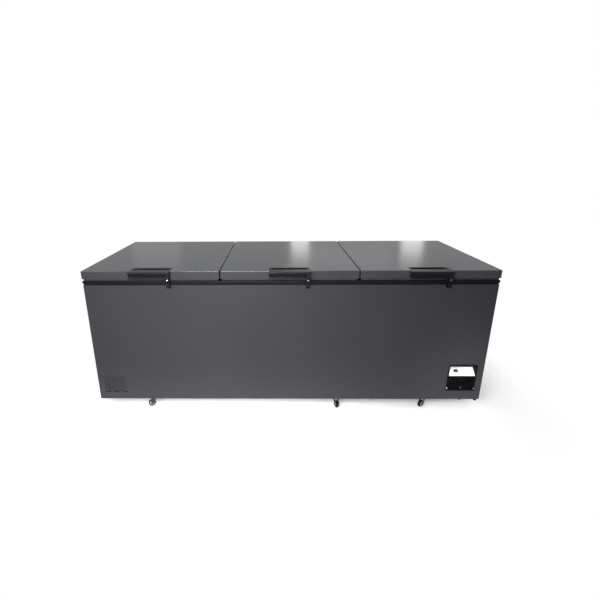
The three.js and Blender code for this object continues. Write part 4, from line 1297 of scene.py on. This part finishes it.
floor_bm = bmesh.new()
bmesh.ops.create_circle(floor_bm, cap_ends=True, segments=96, radius=FLOOR["radius"])
floor_mesh = mesh_from(floor_bm, "studio_floor")
floor = bpy.data.objects.new("studio_floor", floor_mesh)
paper = Finish("studio_paper", roughness=0.9, specular_ior_level=0.1)
fibre = paper.noise(3, 2)
paper.feed(base_color=paper.colour((0.93, 0.93, 0.93), (0.96, 0.96, 0.96), fibre))
beside = []
for axis, half in (("X", FLOOR["half_x"]), ("Y", FLOOR["half_y"])):
    along = paper.node("ShaderNodeSeparateXYZ", (), {0: paper.place}, axis)
    over = paper.math("MAXIMUM", paper.math("ABSOLUTE", along) - half, 0.0)
    beside.append(over * over)
away = paper.math("SQRT", beside[0] + beside[1])
fade = paper.node(
    "ShaderNodeMapRange",
    {"interpolation_type": "SMOOTHSTEP"},
    {"Value": away, "From Min": FLOOR["fade_from"], "From Max": FLOOR["fade_from"] + FLOOR["fade"]},
)
clear = paper.node("ShaderNodeBsdfTransparent")
sheet = Value(paper.tree, paper.shader.outputs[0])
mixed = paper.node("ShaderNodeMixShader", (), {0: fade, 1: sheet, 2: clear})
output = next(n for n in paper.tree.nodes if n.type == "OUTPUT_MATERIAL")
paper.tree.links.new(mixed.socket, output.inputs["Surface"])
floor_mesh.materials.append(paper.material)

dome_bm = bmesh.new()
bmesh.ops.create_icosphere(dome_bm, subdivisions=4, radius=DOME_RADIUS)
dome_mesh = mesh_from(dome_bm, "studio_dome")
dome = bpy.data.objects.new("studio_dome", dome_mesh)
white = Finish(
    "studio_white", emission_strength=1.0, base_color=(0, 0, 0, 1), specular_ior_level=0,
    emission_color=(1, 1, 1, 1),
)
dome_mesh.materials.append(white.material)
dome.visible_diffuse = dome.visible_glossy = dome.visible_transmission = dome.visible_shadow = False
for backdrop in (floor, dome):
    bpy.context.scene.collection.objects.link(backdrop)

world = bpy.data.worlds.new("studio")
world.use_nodes = True
surround = next(n for n in world.node_tree.nodes if n.type == "BACKGROUND")
surround.inputs["Color"].default_value = (0.97, 0.98, 1.0, 1)
surround.inputs["Strength"].default_value = 0.35
bpy.context.scene.world = world


def soft_light(name, place, target, size, radiance, spread=180):
    """An area light of a given size, aimed at a point and not seen by the camera."""
    light = bpy.data.lights.new(name, "AREA")
    light.shape, light.size, light.size_y = "RECTANGLE", *size
    light.energy = radiance * math.pi * size[0] * size[1]
    light.spread = math.radians(spread)
    lamp = bpy.data.objects.new(name, light)
    aim = (Vector(target) - Vector(place)).to_track_quat("-Z", "Y").to_matrix().to_4x4()
    lamp.matrix_world = Matrix.Translation(place) @ aim
    lamp.visible_camera = False
    bpy.context.scene.collection.objects.link(lamp)


soft_light("ceiling", (0, -0.2, 4.5), (0, -0.2, 0), (10, 10), 0.95)
soft_light("key", (-0.5, -2.2, 1.35), (-0.38, -0.47, 0.3), (1.0, 0.8), 13.5, 110)
soft_light("low_left", (-2.2, -2.95, 1.5), (-1.1, -0.475, 0.2), (0.8, 0.8), 11)
soft_light("panel_spot", (1.25, -2.1, 1.25), (1.07, -0.47, 0.27), (0.3, 0.3), 1.5, 18)
soft_light("back_wall", (0, 7, 2.2), (0, 0, 0.9), (14, 4), 0.14)
soft_light("lamp_left", (-2.4, 5, 1.95), (-0.9, 0, 0.9), (0.9, 0.5), 0.25)
soft_light("lamp_middle", (0.39, 5, 1.70), (0.1, 0.3, 0.9), (0.34, 0.45), 2.6)
soft_light("lamp_right", (2.54, 5, 1.68), (0.95, 0.3, 0.9), (0.40, 0.45), 2.8)
soft_light("lamp_wide", (1.35, 5, 2.2), (0.4, 0, 0.9), (1.6, 0.5), 0.35)
bpy.context.scene.view_settings.view_transform = "Standard"
